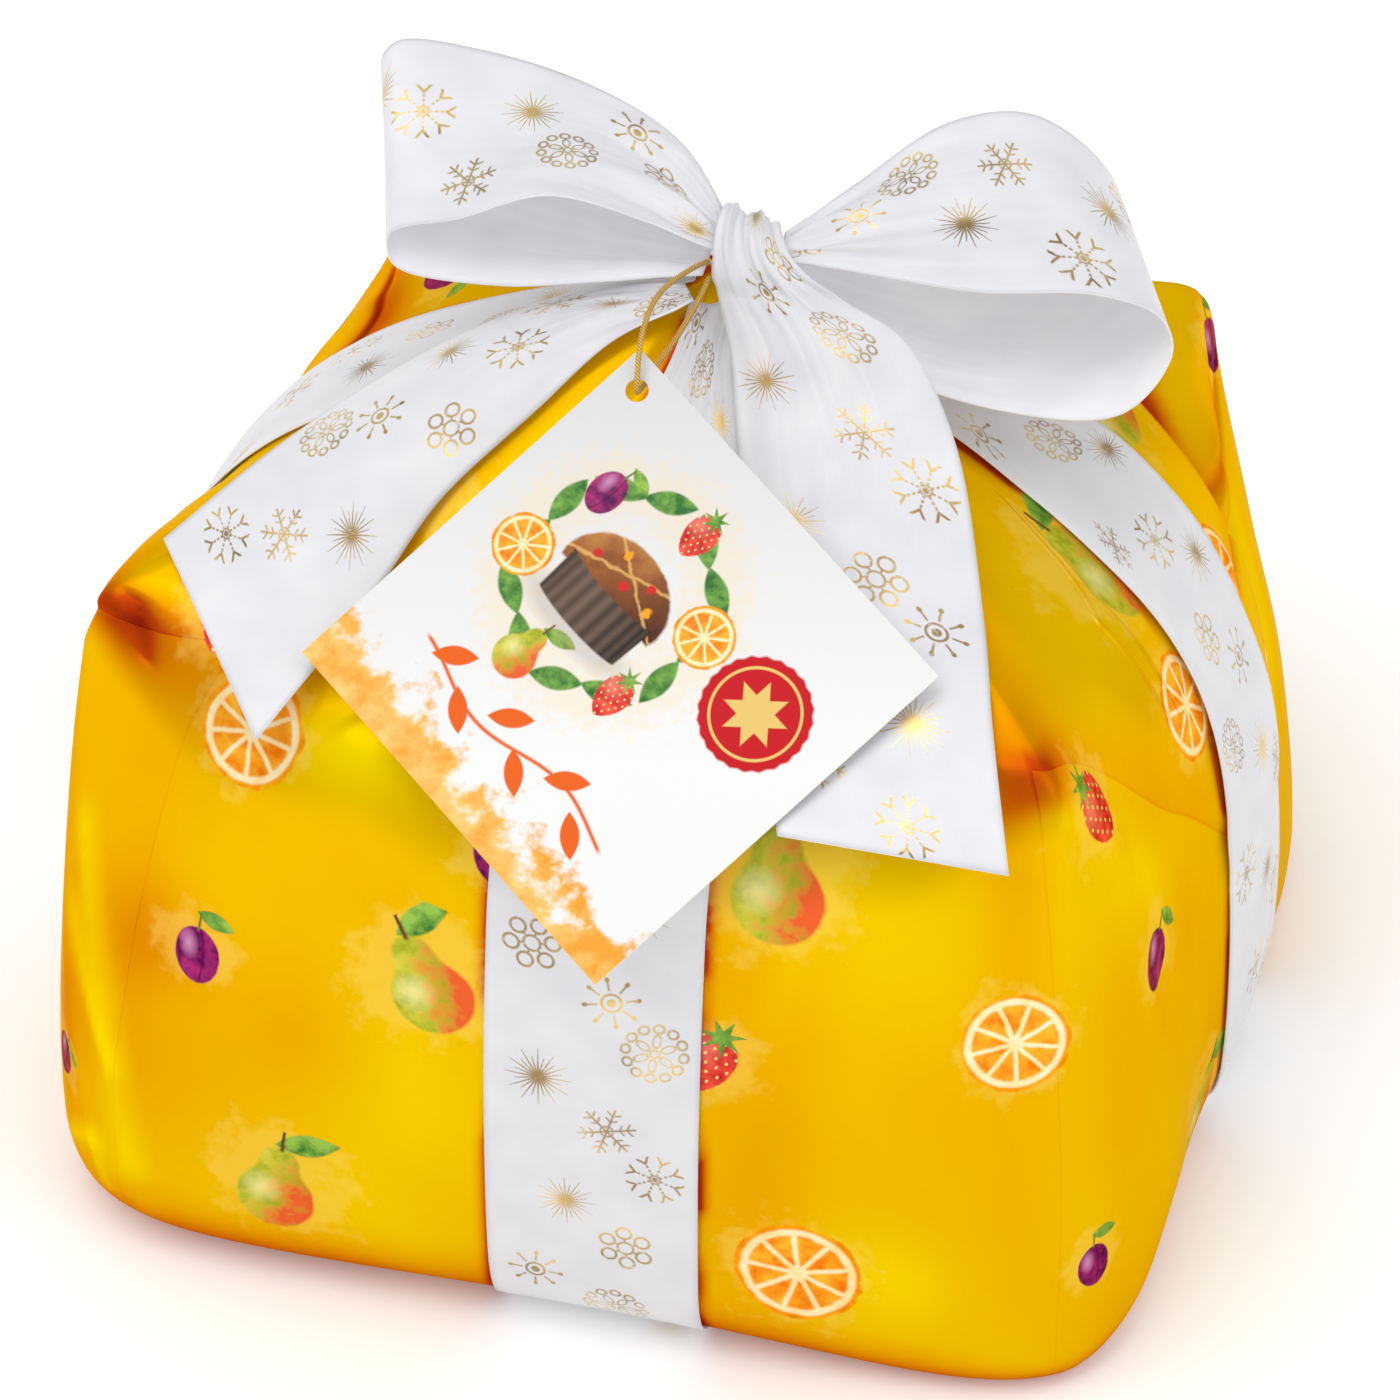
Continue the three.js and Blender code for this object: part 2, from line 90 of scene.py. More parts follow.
# Tag and cord
TAG_SIDE = 95
TAG_THICK = 0.6
TAG_CENTRE = (1, -97, 168)
TAG_TILT = 40.5
TAG_ROLL = 52
CORD_DIAMETER = 1.2
CORD_SIDES = 16
CORD_RINGS = 420
CORD_TWIST = 4.2
CORD_RIDGE = 0.05
CORD_ROUTE = [
    [-2.1, -9, 208.4], [-3.7, -16.5, 211.4], [-6.9, -31, 214.8], [-7.3, -42, 214.6],
    [-6.6, -49.6, 212.2], [-6.1, -53, 208.6], [-6.1, -53.2, 205.3], [-5.8, -50, 204.2],
    [-4.8, -43, 204.3], [-2.8, -30, 204.6], [-1.5, -18, 205.2], [-1, -11.6, 206],
]


def mix(a, b, w):
    """A straight blend from a, where w is 0, to b, where w is 1."""
    return a + (b - a) * w


def smooth(low, high, v):
    """A soft step from 0 at low to 1 at high: three squares less two cubes."""
    u = np.clip((v - low) / (high - low), 0, 1)
    return u * u * (3 - 2 * u)


def window(low, full, still, gone, v):
    """A soft step up from low to full, and down again from still to gone."""
    return smooth(low, full, v) * smooth(gone, still, v)


def bell(v, width):
    """A rounded hump, 1 at zero and about a third at its width."""
    return np.exp(-((v / width) ** 2))


def bend(a, b, c, w):
    """A quadratic curve from a to c that leans toward b."""
    return (1 - w) ** 2 * a + 2 * w * (1 - w) * b + w * w * c


def turned(degrees):
    """The same angle between -180 and 180."""
    return np.mod(degrees + 540, 360) - 180


def unit(v):
    """Vectors of length 1 in the same directions."""
    return v / np.maximum(np.linalg.norm(v, axis=-1, keepdims=True), 1e-9)


def smooth_path(points, s):
    """A curve through the points, for s from 0 to 1: between two points runs a cubic whose slopes
    come from the four nearest points and the square roots of the distances between them."""
    p = np.array(points, float)
    p = np.vstack([2 * p[0] - p[1], p, 2 * p[-1] - p[-2]])
    spans = len(p) - 3
    place = np.clip(np.asarray(s, float), 0, 1) * spans
    i = np.minimum(place.astype(int), spans - 1)
    w = (place - i)[..., None]
    p0, p1, p2, p3 = (p[i + n] for n in range(4))
    d0, d1, d2 = (
        np.sqrt(np.linalg.norm(b - a, axis=-1, keepdims=True))
        for a, b in ((p0, p1), (p1, p2), (p2, p3))
    )
    start = d1 * ((p1 - p0) / d0 - (p2 - p0) / (d0 + d1) + (p2 - p1) / d1)
    end = d1 * ((p2 - p1) / d1 - (p3 - p1) / (d1 + d2) + (p3 - p2) / d2)
    third = 2 * p1 - 2 * p2 + start + end
    second = 3 * p2 - 3 * p1 - 2 * start - end
    return p1 + w * (start + w * (second + w * third))


def path_length(path):
    """The length along a path up to each of its points."""
    return np.r_[0, np.cumsum(np.linalg.norm(np.diff(path, axis=0), axis=1))]


def stand(item, azimuth, elevation, distance, target):
    """Puts a camera or a light on a sphere round its target, facing it."""
    a, e = np.radians(azimuth), np.radians(elevation)
    away = np.array([np.sin(a) * np.cos(e), -np.cos(a) * np.cos(e), np.sin(e)])
    item.location = (target + away * distance) * MM
    item.rotation_euler = (np.pi / 2 - e, 0, a)
    bpy.context.collection.objects.link(item)


def make_camera():
    """The camera at the photo's viewing angle."""
    data = bpy.data.cameras.new("camera")
    data.sensor_width = 36
    data.lens = CAMERA_LENS
    data.clip_start = 0.05
    camera = bpy.data.objects.new("camera", data)
    stand(camera, CAMERA_AZIMUTH, CAMERA_ELEVATION, CAMERA_DISTANCE, SHIFT + CAMERA_TARGET)
    bpy.context.scene.camera = camera


make_camera()


# Meshes


def grid_quads(long, wide, closed=False):
    """Corner numbers of the faces of a grid of points, which may close on itself across."""
    i, j = np.meshgrid(np.arange(long - 1), np.arange(wide - (not closed)), indexing="ij")
    here, beside = i * wide + j, i * wide + (j + 1) % wide
    return np.stack([here, beside, beside + wide, here + wide], -1).reshape(-1, 4)


def ring_faces(rings, around):
    """Faces between stacked rings of points, and a fan at each end. The points of the two ends
    follow those of the rings."""
    faces = grid_quads(rings, around, closed=True).tolist()
    low, last = rings * around, (rings - 1) * around
    for j in range(around):
        after = (j + 1) % around
        faces += [[low, after, j], [low + 1, last + j, last + after]]
    return faces


def make_piece(name, points, faces, material):
    """A smooth mesh object of points in millimetres that rides on the pack."""
    mesh = bpy.data.meshes.new(name)
    mesh.from_pydata(((points + SHIFT) * MM).tolist(), [], [list(map(int, f)) for f in faces])
    mesh.materials.append(material)
    mesh.polygons.foreach_set("use_smooth", np.ones(len(mesh.polygons), bool))
    mesh.update()
    piece = bpy.data.objects.new(name, mesh)
    bpy.context.collection.objects.link(piece)
    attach(piece, "root")
    return piece


def corner_arrays(mesh):
    """For every face corner of a mesh: its vertex and its face."""
    vertex = np.empty(len(mesh.loops), np.int32)
    mesh.loops.foreach_get("vertex_index", vertex)
    total = np.empty(len(mesh.polygons), np.int32)
    mesh.polygons.foreach_get("loop_total", total)
    return vertex, np.repeat(np.arange(len(mesh.polygons)), total)


def write_uv(mesh, name, values):
    """A UV map from one pair of numbers for each face corner."""
    layer = mesh.uv_layers.new(name=name)
    layer.data.foreach_set("uv", np.asarray(values, np.float32).ravel())


def write_numbers(mesh, name, domain, values):
    """An attribute with one number for each vertex or face."""
    attribute = mesh.attributes.new(name, "FLOAT", domain)
    attribute.data.foreach_set("value", np.asarray(values, np.float32))


def write_print(mesh, x, y, turn):
    """The "print" UV map: each corner's place from its motif's middle, turned with the motif."""
    c, s = np.cos(turn), np.sin(turn)
    write_uv(mesh, "print", np.stack([c * x + s * y, c * y - s * x], -1))


# Cord


def make_cord(material):
    """A tube on the route: each point is the path's plus the radius along a direction that turns
    round it. Two strands show as a low ridge that winds along. The closed ends lie in the knot's
    mouth."""
    path = smooth_path(CORD_ROUTE, np.linspace(0, 1, CORD_RINGS))
    ahead = unit(np.gradient(path, axis=0))
    first = unit(np.array([1.0, 0, 0]) - ahead[:, :1] * ahead)[:, None]
    second = np.cross(ahead[:, None], first)
    angle = np.arange(CORD_SIDES) / CORD_SIDES * 2 * np.pi
    length = path_length(path)
    wave = 1 + CORD_RIDGE * np.cos(2 * angle - CORD_TWIST * length[:, None])
    spoke = np.cos(angle)[:, None] * first + np.sin(angle)[:, None] * second
    rings = path[:, None] + CORD_DIAMETER / 2 * wave[..., None] * spoke
    points = np.vstack([rings.reshape(-1, 3), path[:1], path[-1:]])
    cord = make_piece("cord", points, ring_faces(len(path), CORD_SIDES), material)
    vertex, _ = corner_arrays(cord.data)
    along = length[np.minimum(vertex // CORD_SIDES, len(path) - 1)]
    write_uv(cord.data, "cloth", np.stack([(vertex % CORD_SIDES) / CORD_SIDES, along * MM], -1))
    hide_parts("tag_cord")
    tuple((path[0] + SHIFT) * MM)
    ((path + SHIFT) * MM)[::3].tolist() + [((path[-1] + SHIFT) * MM).tolist()]


# Wrap

# Rows: degrees around, corner bulge, foot rounding, belly, shoulder radius, shoulder height,
# shoulder rounding, and 1 where the wrap stands up as a folded ear
STATIONS = np.array([
    [0, 0, 26, 3, 109, 136, 46, 0],
    [24, 2, 12, -6, 111, 134, 34, 0],
    [43, 1, 14, -10, 127, 151, 14, 1],
    [90, 0, 30, 3, 112, 122, 40, 0],
    [138, 0, 24, 0, 128, 144, 16, 1],
    [160, 0, 27, 3, 110, 134, 40, 0],
    [180, 0, 30, 3, 113, 138, 44, 0],
    [218, 0, 19, 0, 146, 158, 12, 1],
    [243, 0, 24, 2, 128, 150, 24, 0],
    [270, 0, 26, 3, 119, 146, 34, 0],
    [314, -3, 9, 0, 141, 158, 12, 1],
    [336, -5, 17, 1, 119, 143, 35, 0],
    [360, 0, 26, 3, 109, 136, 46, 0],
], float)


def station(deg):
    """The section's values in any direction: eased between the rows of STATIONS, and with a crisp
    edge where a row is an ear."""
    d = np.mod(deg, 360)
    i = np.clip(np.searchsorted(STATIONS[:, 0], d, side="left"), 1, len(STATIONS) - 1) - 1
    a = STATIONS[i]
    b = STATIONS[i + 1]
    u = (d - a[..., 0]) / (b[..., 0] - a[..., 0])
    to_ear = (a[..., 7] == 0) & (b[..., 7] == 1)
    from_ear = (a[..., 7] == 1) & (b[..., 7] == 0)
    plain = (a[..., 7] == 0) & (b[..., 7] == 0)
    w = np.select(
        [to_ear, from_ear, plain],
        [1 - np.cos(np.pi / 2 * u), np.sin(np.pi / 2 * u), (1 - np.cos(np.pi * u)) / 2],
        u,
    )
    values = mix(a[..., 1:7], b[..., 1:7], w[..., None])
    return [values[..., n] for n in range(6)]


def foot_radius(deg):
    """A rounded rectangle as a superellipse, squarer at the front than at the back."""
    c = np.abs(np.cos(np.radians(deg)))
    s = np.abs(np.sin(np.radians(deg)))
    n = 5.2 - 1.9 * np.sin(np.radians(deg))
    return ((c / HALF_WIDTH) ** n + (s / HALF_DEPTH) ** n) ** (-1 / n)


def section(deg, t):
    """Radius and height of the wrap. t runs over the foot bend (0 to 1), the wall (1 to 2), the
    shoulder bend (2 to 3), each a quadratic curve, and straight over the roof to the knot (4)."""
    deg, t = np.broadcast_arrays(np.asarray(deg, float), np.asarray(t, float))
    bulge, foot, belly, radius, height, rounding = station(deg)
    base = foot_radius(deg) + bulge
    level = np.zeros_like(base)
    ground, corner = np.stack([base - foot * 0.9, level]), np.stack([base, level])
    wall_foot = np.stack([base + belly * 0.4, foot])
    belt = np.stack([base + belly, 0.5 * height])
    shoulder = np.stack([radius, height])
    top = np.stack([level, level + ROOF_Z])
    low, high = (
        shoulder + (end - shoulder) / np.linalg.norm(end - shoulder, axis=0) * rounding
        for end in (belt, top)
    )
    return np.select(
        [t <= 1, t <= 2, t <= 3],
        [
            bend(ground, corner, wall_foot, t),
            bend(wall_foot, belt, low, t - 1),
            bend(low, shoulder, high, t - 2),
        ],
        mix(high, top, t - 3),
    )


def plain_wrap(deg, t):
    """The wrap without its folds: the section swung round an axis that leans to the left."""
    r, z = section(deg, t)
    x = LOW_CENTRE_X * (1 - t / 4) + r * np.cos(np.radians(deg))
    return np.stack(np.broadcast_arrays(x, r * np.sin(np.radians(deg)), z), -1)


def wrap_normal(deg, t):
    """The outward direction: the slope around crossed with the slope upward."""
    around = plain_wrap(deg + 0.4, t) - plain_wrap(deg - 0.4, t)
    upward = plain_wrap(deg, np.minimum(4, t + 0.02)) - plain_wrap(deg, np.maximum(0, t - 0.02))
    return unit(np.cross(around, upward))


def flap_edge(off):
    """Height of the slanting edge of the folded end flap."""
    return 1.6 + 0.96 * (np.abs(off) / 44) ** 1.45


def main_folds(deg, t):
    """The folds that give the pack its form: end flaps, the deep pleat, a valley and a corner
    crease, as steps and humps along the outward direction, with long low waves."""
    out = np.zeros(np.broadcast(deg, t).shape)
    for middle in FLAP_MIDDLES:
        off = turned(deg - middle)
        fade = smooth(44, 34, np.abs(off)) * smooth(3.1, 2.6, t)
        out += FLAP_STEP * fade * smooth(-0.02, 0.08, t - flap_edge(off))
    pleat_at = mix(19, 34, np.clip((t - 1.5) / 1.3, 0, 1))
    out -= PLEAT_DEPTH * bell(turned(deg - pleat_at), 2.6) * window(1.35, 1.9, 2.7, 3.1, t)
    out -= 2.2 * bell(turned(deg - 308.5), 3.2) * window(1.3, 1.9, 2.4, 2.8, t)
    crease_at = mix(232, 221, np.clip((t - 0.8) / 0.8, 0, 1))
    out += 1.3 * bell(turned(deg - crease_at), 1.6) * window(0.5, 0.9, 1.5, 1.9, t)
    a = np.radians(deg)
    out += 0.7 * window(0.6, 1.2, 2.6, 3.4, t) * np.sin(a * 9 + 1.3) * np.sin(t * 3.1 + 0.6)
    return out + 0.9 * window(3, 3.4, 3.6, 3.95, t) * np.sin(a * 16 + 0.8)


# Soft pleats of the film: degrees and t at both ends, height in millimetres, width in degrees
PLEATS = [
    (247, 2.9, 236, 2.1, -0.6, 1.6),
    (322, 2.5, 330, 1.4, -0.5, 1.8),
    (297, 2.7, 290, 1.9, 0.5, 2.2),
    (52, 2.9, 60, 1.6, 0.8, 1.6),
    (128, 2.8, 118, 1.7, -0.8, 1.8),
    (150, 2.7, 158, 1.5, 0.7, 1.6),
    (205, 2.6, 196, 1.6, -0.7, 1.8),
    (78, 2.6, 84, 1.3, 0.5, 2.4),
    (12, 2.8, 8, 1.4, -0.5, 1.8),
]


# Crisp creases of the film: degrees and t at both ends, half width and height in millimetres, and
# tone, the painted shade along the crease when over 0, toward orange and red, and the painted
# highlight when under 0, toward yellow
CREASES = [
    (222.5, 1.75, 228.5, 1.42, 5, 1.2, -0.45), (228.5, 1.42, 231.8, 1.0, 5, 1.2, -0.45),
    (223, 1.56, 230.6, 1.27, 3.5, 0.9, -0.4), (223.5, 1.0, 228.2, 1.07, 3, 0.7, -0.45),
    (228.2, 1.09, 228.6, 0.78, 3, 0.7, -0.45), (219.6, 2.72, 224.2, 2.3, 4, -0.8, 0.3),
    (40, 2.16, 24, 2.2, 5, -1.0, 0.45), (27, 2.2, 7, 2.21, 3, -0.9, 0.5),
    (298, 2.62, 289, 1.75, 6, 0.5, -0.1), (146, 2.6, 168, 2.66, 3, -0.6, 0.9),
    (120, 2.7, 106, 1.7, 6, 0.7, -0.2), (64, 2.75, 72, 1.8, 6, 0.6, -0.2),
]
ARC = 2.2
RISE = 70


def line_frame(deg0, t0, deg1, t1, half):
    """A straight line over the unrolled film, in millimetres: ARC to a degree and RISE to one of t.
    Gives its start, and the directions that count its length and half widths beside it."""
    run = np.array([(deg1 - deg0) * ARC, (t1 - t0) * RISE])
    long = np.hypot(*run)
    side = np.array([run[1], -run[0]])
    return np.array([deg0 * ARC, t0 * RISE]), run / long ** 2, side / (long * half)


def creases(deg, t):
    """Height and painted shade and highlight of the crisp creases: tents across their lines, fading
    at both ends.
    """
    place = np.stack(np.broadcast_arrays(np.mod(deg, 360) * ARC, t * RISE), -1)
    height = np.zeros(place.shape[:-1])
    tone_and_shade = np.zeros(place.shape[:-1])
    for *line, half, high, colour in CREASES:
        start, along, side = line_frame(*line, half)
        tent = np.maximum(1 - np.abs((place - start) @ side), 0)
        tent *= smooth(0.62, 0.4, np.abs((place - start) @ along - 0.5))
        height += high * tent
        # Each crease's colour column is its painted shade or painted highlight
        tone_and_shade += colour * tent
    return height, tone_and_shade


def fine_folds(deg, t):
    """Soft pleats: humps across straight lines in degrees and t, which fade at both ends, with the
    crisp creases and a slow unevenness of the film as a product of waves."""
    out = creases(deg, t)[0]
    for from_deg, from_t, to_deg, to_t, height, width in PLEATS:
        w = (t - from_t) / (to_t - from_t)
        at = from_deg + turned(to_deg - from_deg) * w
        out += height * window(-0.15, 0.15, 0.85, 1.15, w) * bell(turned(deg - at), width)
    a = np.radians(deg)
    uneven = np.sin(23 * a + 4 * t) * np.sin(5.3 * t + 3 * a)
    return out + 0.28 * window(0.5, 1.1, 3.4, 3.9, t) * uneven


def wrap_surface(deg, t):
    """The film's outside: the plain wrap moved outward by its folds. Below the foot bend, t from
    -1 to 0, it runs flat to the middle, and is raised over the ribbons."""
    up = np.clip(t, 0, 4)
    folds = main_folds(deg, up) + fine_folds(deg, up)
    point = plain_wrap(deg, up) + wrap_normal(deg, up) * folds[..., None]
    point = mix(point, np.array([LOW_CENTRE_X, 0, 0]), np.clip(-t, 0, 1)[..., None])
    off_x = np.abs(point[..., 0] - FRONT_BAND_X)
    off_y = np.abs(point[..., 1] - SIDE_BAND_Y)
    near_x, near_y = (smooth(RIBBON_HALF + 1.6, RIBBON_HALF + 0.4, off) for off in (off_x, off_y))
    channel = CHANNEL * np.maximum(near_x, near_y)
    crossing = CROSSING_CHANNEL * smooth(50, 46, off_x) * near_y
    point[..., 2] = np.max([point[..., 2], channel, crossing], axis=0)
    return point


# Painted shade and highlight on the film, as soft spots of colour: degrees, t, width in degrees,
# width in t, and tone, which is over 0 toward orange and red for painted shade and under 0 toward
# yellow for painted highlight
PAINTED_SHADE_SPOTS = [
    (219.5, 2.5, 5.5, 0.36, 0.9), (226, 2.35, 8, 0.32, 0.45), (231, 2.7, 8, 0.3, 0.3),
    (231, 1.62, 6, 0.13, 0.32), (245, 1.52, 6, 0.2, 0.14), (237, 1.2, 6, 0.2, 0.05),
    (246, 2.5, 8, 0.2, -0.5), (256, 1.45, 8, 0.22, -0.15), (223.5, 1.2, 2.5, 0.3, 0.4),
    (312.5, 2.75, 5.5, 0.36, 0.85), (311, 2.42, 4.5, 0.2, 0.4), (310, 1.9, 3.5, 0.35, 0.3),
    (325, 1.94, 9, 0.14, -0.3), (318, 2.2, 5, 0.13, -0.35), (336, 2.3, 12, 0.3, 0.12),
    (288, 1.35, 5, 0.4, 0.22), (328, 1.2, 12, 0.3, -0.3), (300, 1.15, 5, 0.12, -0.3),
    (34, 2.2, 7, 0.12, 0.25),
    (14, 1.9, 10, 0.2, -0.25), (158, 2.66, 14, 0.14, 0.9), (172, 3.1, 14, 0.35, 0.35),
    (16, 2.24, 12, 0.07, 0.3),
    (95, 2.5, 12, 0.3, 0.35), (130, 1.3, 9, 0.4, 0.3), (200, 1.6, 8, 0.4, 0.35),
    (60, 1.8, 10, 0.4, -0.2), (112, 1.8, 10, 0.4, -0.25), (80, 1.3, 9, 0.3, 0.25),
]


def film_painted_shade(deg, t):
    """Painted shade and highlight of the film, as how deep its colour is: bells round the spots of
    PAINTED_SHADE_SPOTS, painted shade on the foot bend and in the insides of the deep folds, and
    the creases' painted shade and highlight."""
    out = np.zeros(np.broadcast(deg, t).shape)
    for at, at_t, width, width_t, tone_and_shade in PAINTED_SHADE_SPOTS:
        out += tone_and_shade * bell(turned(deg - at), width) * bell(t - at_t, width_t)
    # Painted shade on the foot bend, deeper in front
    front = smooth(0.3, 1, -np.sin(np.radians(deg)))
    out += mix(0.35, 0.9, front) * smooth(1.08, 0.4, t)
    out += creases(deg, t)[1]
    # Painted shade in the insides of the deep folds, darker high up
    inside = np.clip(-main_folds(deg, t) / PLEAT_DEPTH, 0, 1)
    return out + mix(0.45, 1.2, smooth(2.3, 2.6, t)) * smooth(0.25, 0.9, inside)


CITRUS, BERRY, PEAR, PLUM = range(4)
FRUIT_RADII = (13.5, 12.5, 17, 9)
FRUIT_SEED = 11
# Rows of printed fruit: t, how many, and degrees to the first
FRUIT_ROWS = ((1.12, 15, 6), (1.72, 15, 6), (2.32, 13, 14), (2.95, 9, 6), (3.45, 5, 6))


def fruit_layout():
    """The printed fruit: rows round the pack, each a little uneven, with the kinds taken in turn.
    Gives kinds, degrees, t, radii in millimetres and turns in radians."""
    draw = np.random.default_rng(FRUIT_SEED)
    order = (CITRUS, PLUM, PEAR, BERRY)
    fruit = []
    for row, (t, many, first) in enumerate(FRUIT_ROWS):
        for n in range(many):
            kind = order[(len(fruit) + row) % 4]
            at = 360 * (n + 0.5 * (row % 2)) / many + first + draw.uniform(-3, 3)
            radius = FRUIT_RADII[kind] * draw.uniform(0.9, 1.1)
            up = t + draw.uniform(-0.1, 0.1)
            fruit.append((kind, at, up, radius, draw.uniform(-0.7, 0.7)))
    return np.array(fruit).T


def stamp_fruit(mesh, points):
    """Gives every face the nearest fruit. Its corners are measured on the plane that touches the
    film at that fruit, to the right and upward, in the fruit's radius."""
    kinds, deg, t, radius, turn = fruit_layout()
    centre = wrap_surface(deg, t)
    up = unit(plain_wrap(deg, t + 0.05) - plain_wrap(deg, t - 0.05))
    right = np.cross(up, wrap_normal(deg, t))
    vertex, face = corner_arrays(mesh)
    middle = np.zeros((len(mesh.polygons), 3))
    np.add.at(middle, face, points[vertex])
    middle /= np.bincount(face)[:, None]
    nearest = np.linalg.norm(middle[:, None] - centre[None], axis=2).argmin(1)
    motif = nearest[face]
    away = (points[vertex] - centre[motif]) / radius[motif, None]
    write_print(mesh, (away * right[motif]).sum(1), (away * up[motif]).sum(1), turn[motif])
    write_numbers(mesh, "motif", "FACE", kinds[nearest])


def make_wrap(material):
    """The film as one closed surface: rings from the middle of the base up to the knot."""
    heights = np.r_[
        np.linspace(-0.97, -0.06, 9), np.linspace(0, 1, 15)[:-1], np.linspace(1, 2, 62)[:-1],
        np.linspace(2, 3, 62)[:-1], np.linspace(3, 3.96, 52),
    ]
    columns = np.arange(WRAP_COLUMNS)
    deg = (columns * 360 / WRAP_COLUMNS)[None, :]
    up = np.clip(heights, 0, 4)[:, None]
    grid = wrap_surface(deg, heights[:, None])
    points = np.vstack([grid.reshape(-1, 3), [LOW_CENTRE_X, 0, 1.7], [0, 0, ROOF_Z]])
    wrap = make_piece("film", points, ring_faces(len(heights), WRAP_COLUMNS), material)
    mesh = wrap.data
    stamp_fruit(mesh, points)
    off = np.min([np.abs(turned(deg - middle)) for middle in FLAP_MIDDLES], axis=0)
    flap = np.where(off < 50, up - flap_edge(off), 0.5)
    gap = ribbon_gap(deg, up, grid)
    # Painted shade and highlight of the film, written onto the mesh as its tone
    tone_and_shade = film_painted_shade(deg, up)
    for name, values, end in (("tone_and_shade", tone_and_shade, 0.2), ("gap", gap, 0), ("flap", flap, 0.5)):
        write_numbers(mesh, name, "POINT", np.r_[values.ravel(), end, end])

    # Degrees and t at each corner, which run on past 360 where the film closes
    vertex, face = corner_arrays(mesh)
    column = np.r_[np.tile(columns, len(heights) - 1), np.repeat(columns, 2)][face]
    at = np.where(vertex < gap.size, vertex % WRAP_COLUMNS, column)
    at = np.where(at < column - 1, at + WRAP_COLUMNS, at)
    high = np.r_[np.repeat(up, WRAP_COLUMNS), 0, 4][vertex]
    write_uv(mesh, "fold", np.stack([at / WRAP_COLUMNS, high / 4], -1))
    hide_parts("wrapper")


# Ribbon


SIDES = (0, 180)
# Values of t where the gathering of a ribbon starts, at the sides and in front, and where it ends
GATHER_SIDE = 2.8
GATHER_FRONT = 3.2
GATHER_END = 3.85
# The share of a hollow that a band bridges, and how often its rows are evened out
BRIDGED = 0.6
EVENINGS = 8


def band_half(facing, t):
    """The ribbon's half width, gathered toward the knot: sooner at the sides than in front."""
    start = GATHER_SIDE if facing in SIDES else GATHER_FRONT
    return mix(RIBBON_HALF, RIBBON_KNOT_HALF, smooth(start, GATHER_END, t))


def sway(facing, t):
    """How far the ribbon strays from its straight line on the right and on the left: a hump on the
    roof and an even shift down the wall."""
    wall = window(0.3, 1, 1.9, 2.6, t)
    if facing == 0:
        return 9 * bell(t - 3.15, 0.35) - 7 * wall
    if facing == 180:
        return 8 * bell(t - 3.1, 0.55) - 3 * wall
    return 0 * t


def band_middle(facing, t):
    """The middle line of a band, measured across it from the knot."""
    centre = SIDE_BAND_Y if facing in SIDES else FRONT_BAND_X
    return mix(centre, 0, smooth(3.2, 3.8, t)) + sway(facing, t)


def ribbon_gap(deg, t, point):
    """Distance from a place on the film to the nearest edge of a ribbon, under 0 beneath it."""
    nearest = np.full(point.shape[:-1], 40.0)
    for facing in (0, 90, 180, 270):
        off = point[..., 1] if facing in SIDES else point[..., 0]
        gap = np.abs(off - band_middle(facing, t)) - band_half(facing, t)
        nearest = np.minimum(nearest, np.where(np.abs(turned(deg - facing)) < 50, gap, 40))
    return nearest


def band_point(facing, off, t):
    """A point of a band that runs down one side. The direction is found by going back and forth
    between radius and offset. The band lies on the highest fold under each of its rows, sags part
    of the way into the hollows beside it, and is evened out along its length."""
    deg = np.full(np.broadcast(off, t).shape, float(facing))
    for _ in range(14):
        r = section(deg, t)[0]
        lean = LOW_CENTRE_X * (1 - t / 4)
        want = off / r if facing in SIDES else (off - lean) / r
        swing = np.degrees(np.arcsin(np.clip(want, -0.95, 0.95)))
        deg = facing + (swing if facing in (0, 270) else -swing)
    folds = main_folds(deg, t) + fine_folds(deg, t)
    lift = RIBBON_LIFT + mix(folds, folds.max(1, keepdims=True), BRIDGED)
    for _ in range(EVENINGS):
        lift[1:-1] = (lift[:-2] + 2 * lift[1:-1] + lift[2:]) / 4
    return plain_wrap(deg, t) + wrap_normal(deg, t) * lift[..., None]


def band_rows(first, second, rise):
    """The middle surface of a ribbon from the knot down one side, under the pack and up the other
    side. `rise` is how much higher it lies where it crosses the lengthwise ribbon."""
    t = np.r_[np.linspace(3 + BAND_END, 3, 50)[:-1], np.linspace(3, 2, 46)[:-1],
              np.linspace(2, 1, 52)[:-1], np.linspace(1, 0, 22)][:, None]
    v = np.linspace(-1, 1, BAND_COLUMNS)[None, :]

    def ground(x):
        return GROUND_GAP + rise * smooth(46, 30, np.abs(x - FRONT_BAND_X))

    sides = []
    for facing in (first, second):
        side = band_point(facing, band_middle(facing, t) + v * band_half(facing, t), t)
        gather = 0.45 * smooth(3.05, 3.6, t) * np.sin(v * np.pi * 2.5 + 0.4)
        side += wrap_normal(np.full(t.shape, float(facing)), t) * gather[..., None]
        raised = np.maximum(side[..., 2], ground(side[..., 0]))
        side[..., 2] = np.where(t < 1, raised, side[..., 2])
        sides.append(side)
    down, up = sides[0], sides[1][::-1]
    flat = mix(down[-1][None], up[0][None], np.linspace(0, 1, 100)[1:-1, None, None])
    flat[..., 2] = ground(flat[..., 0])
    return np.concatenate([down, flat, up])


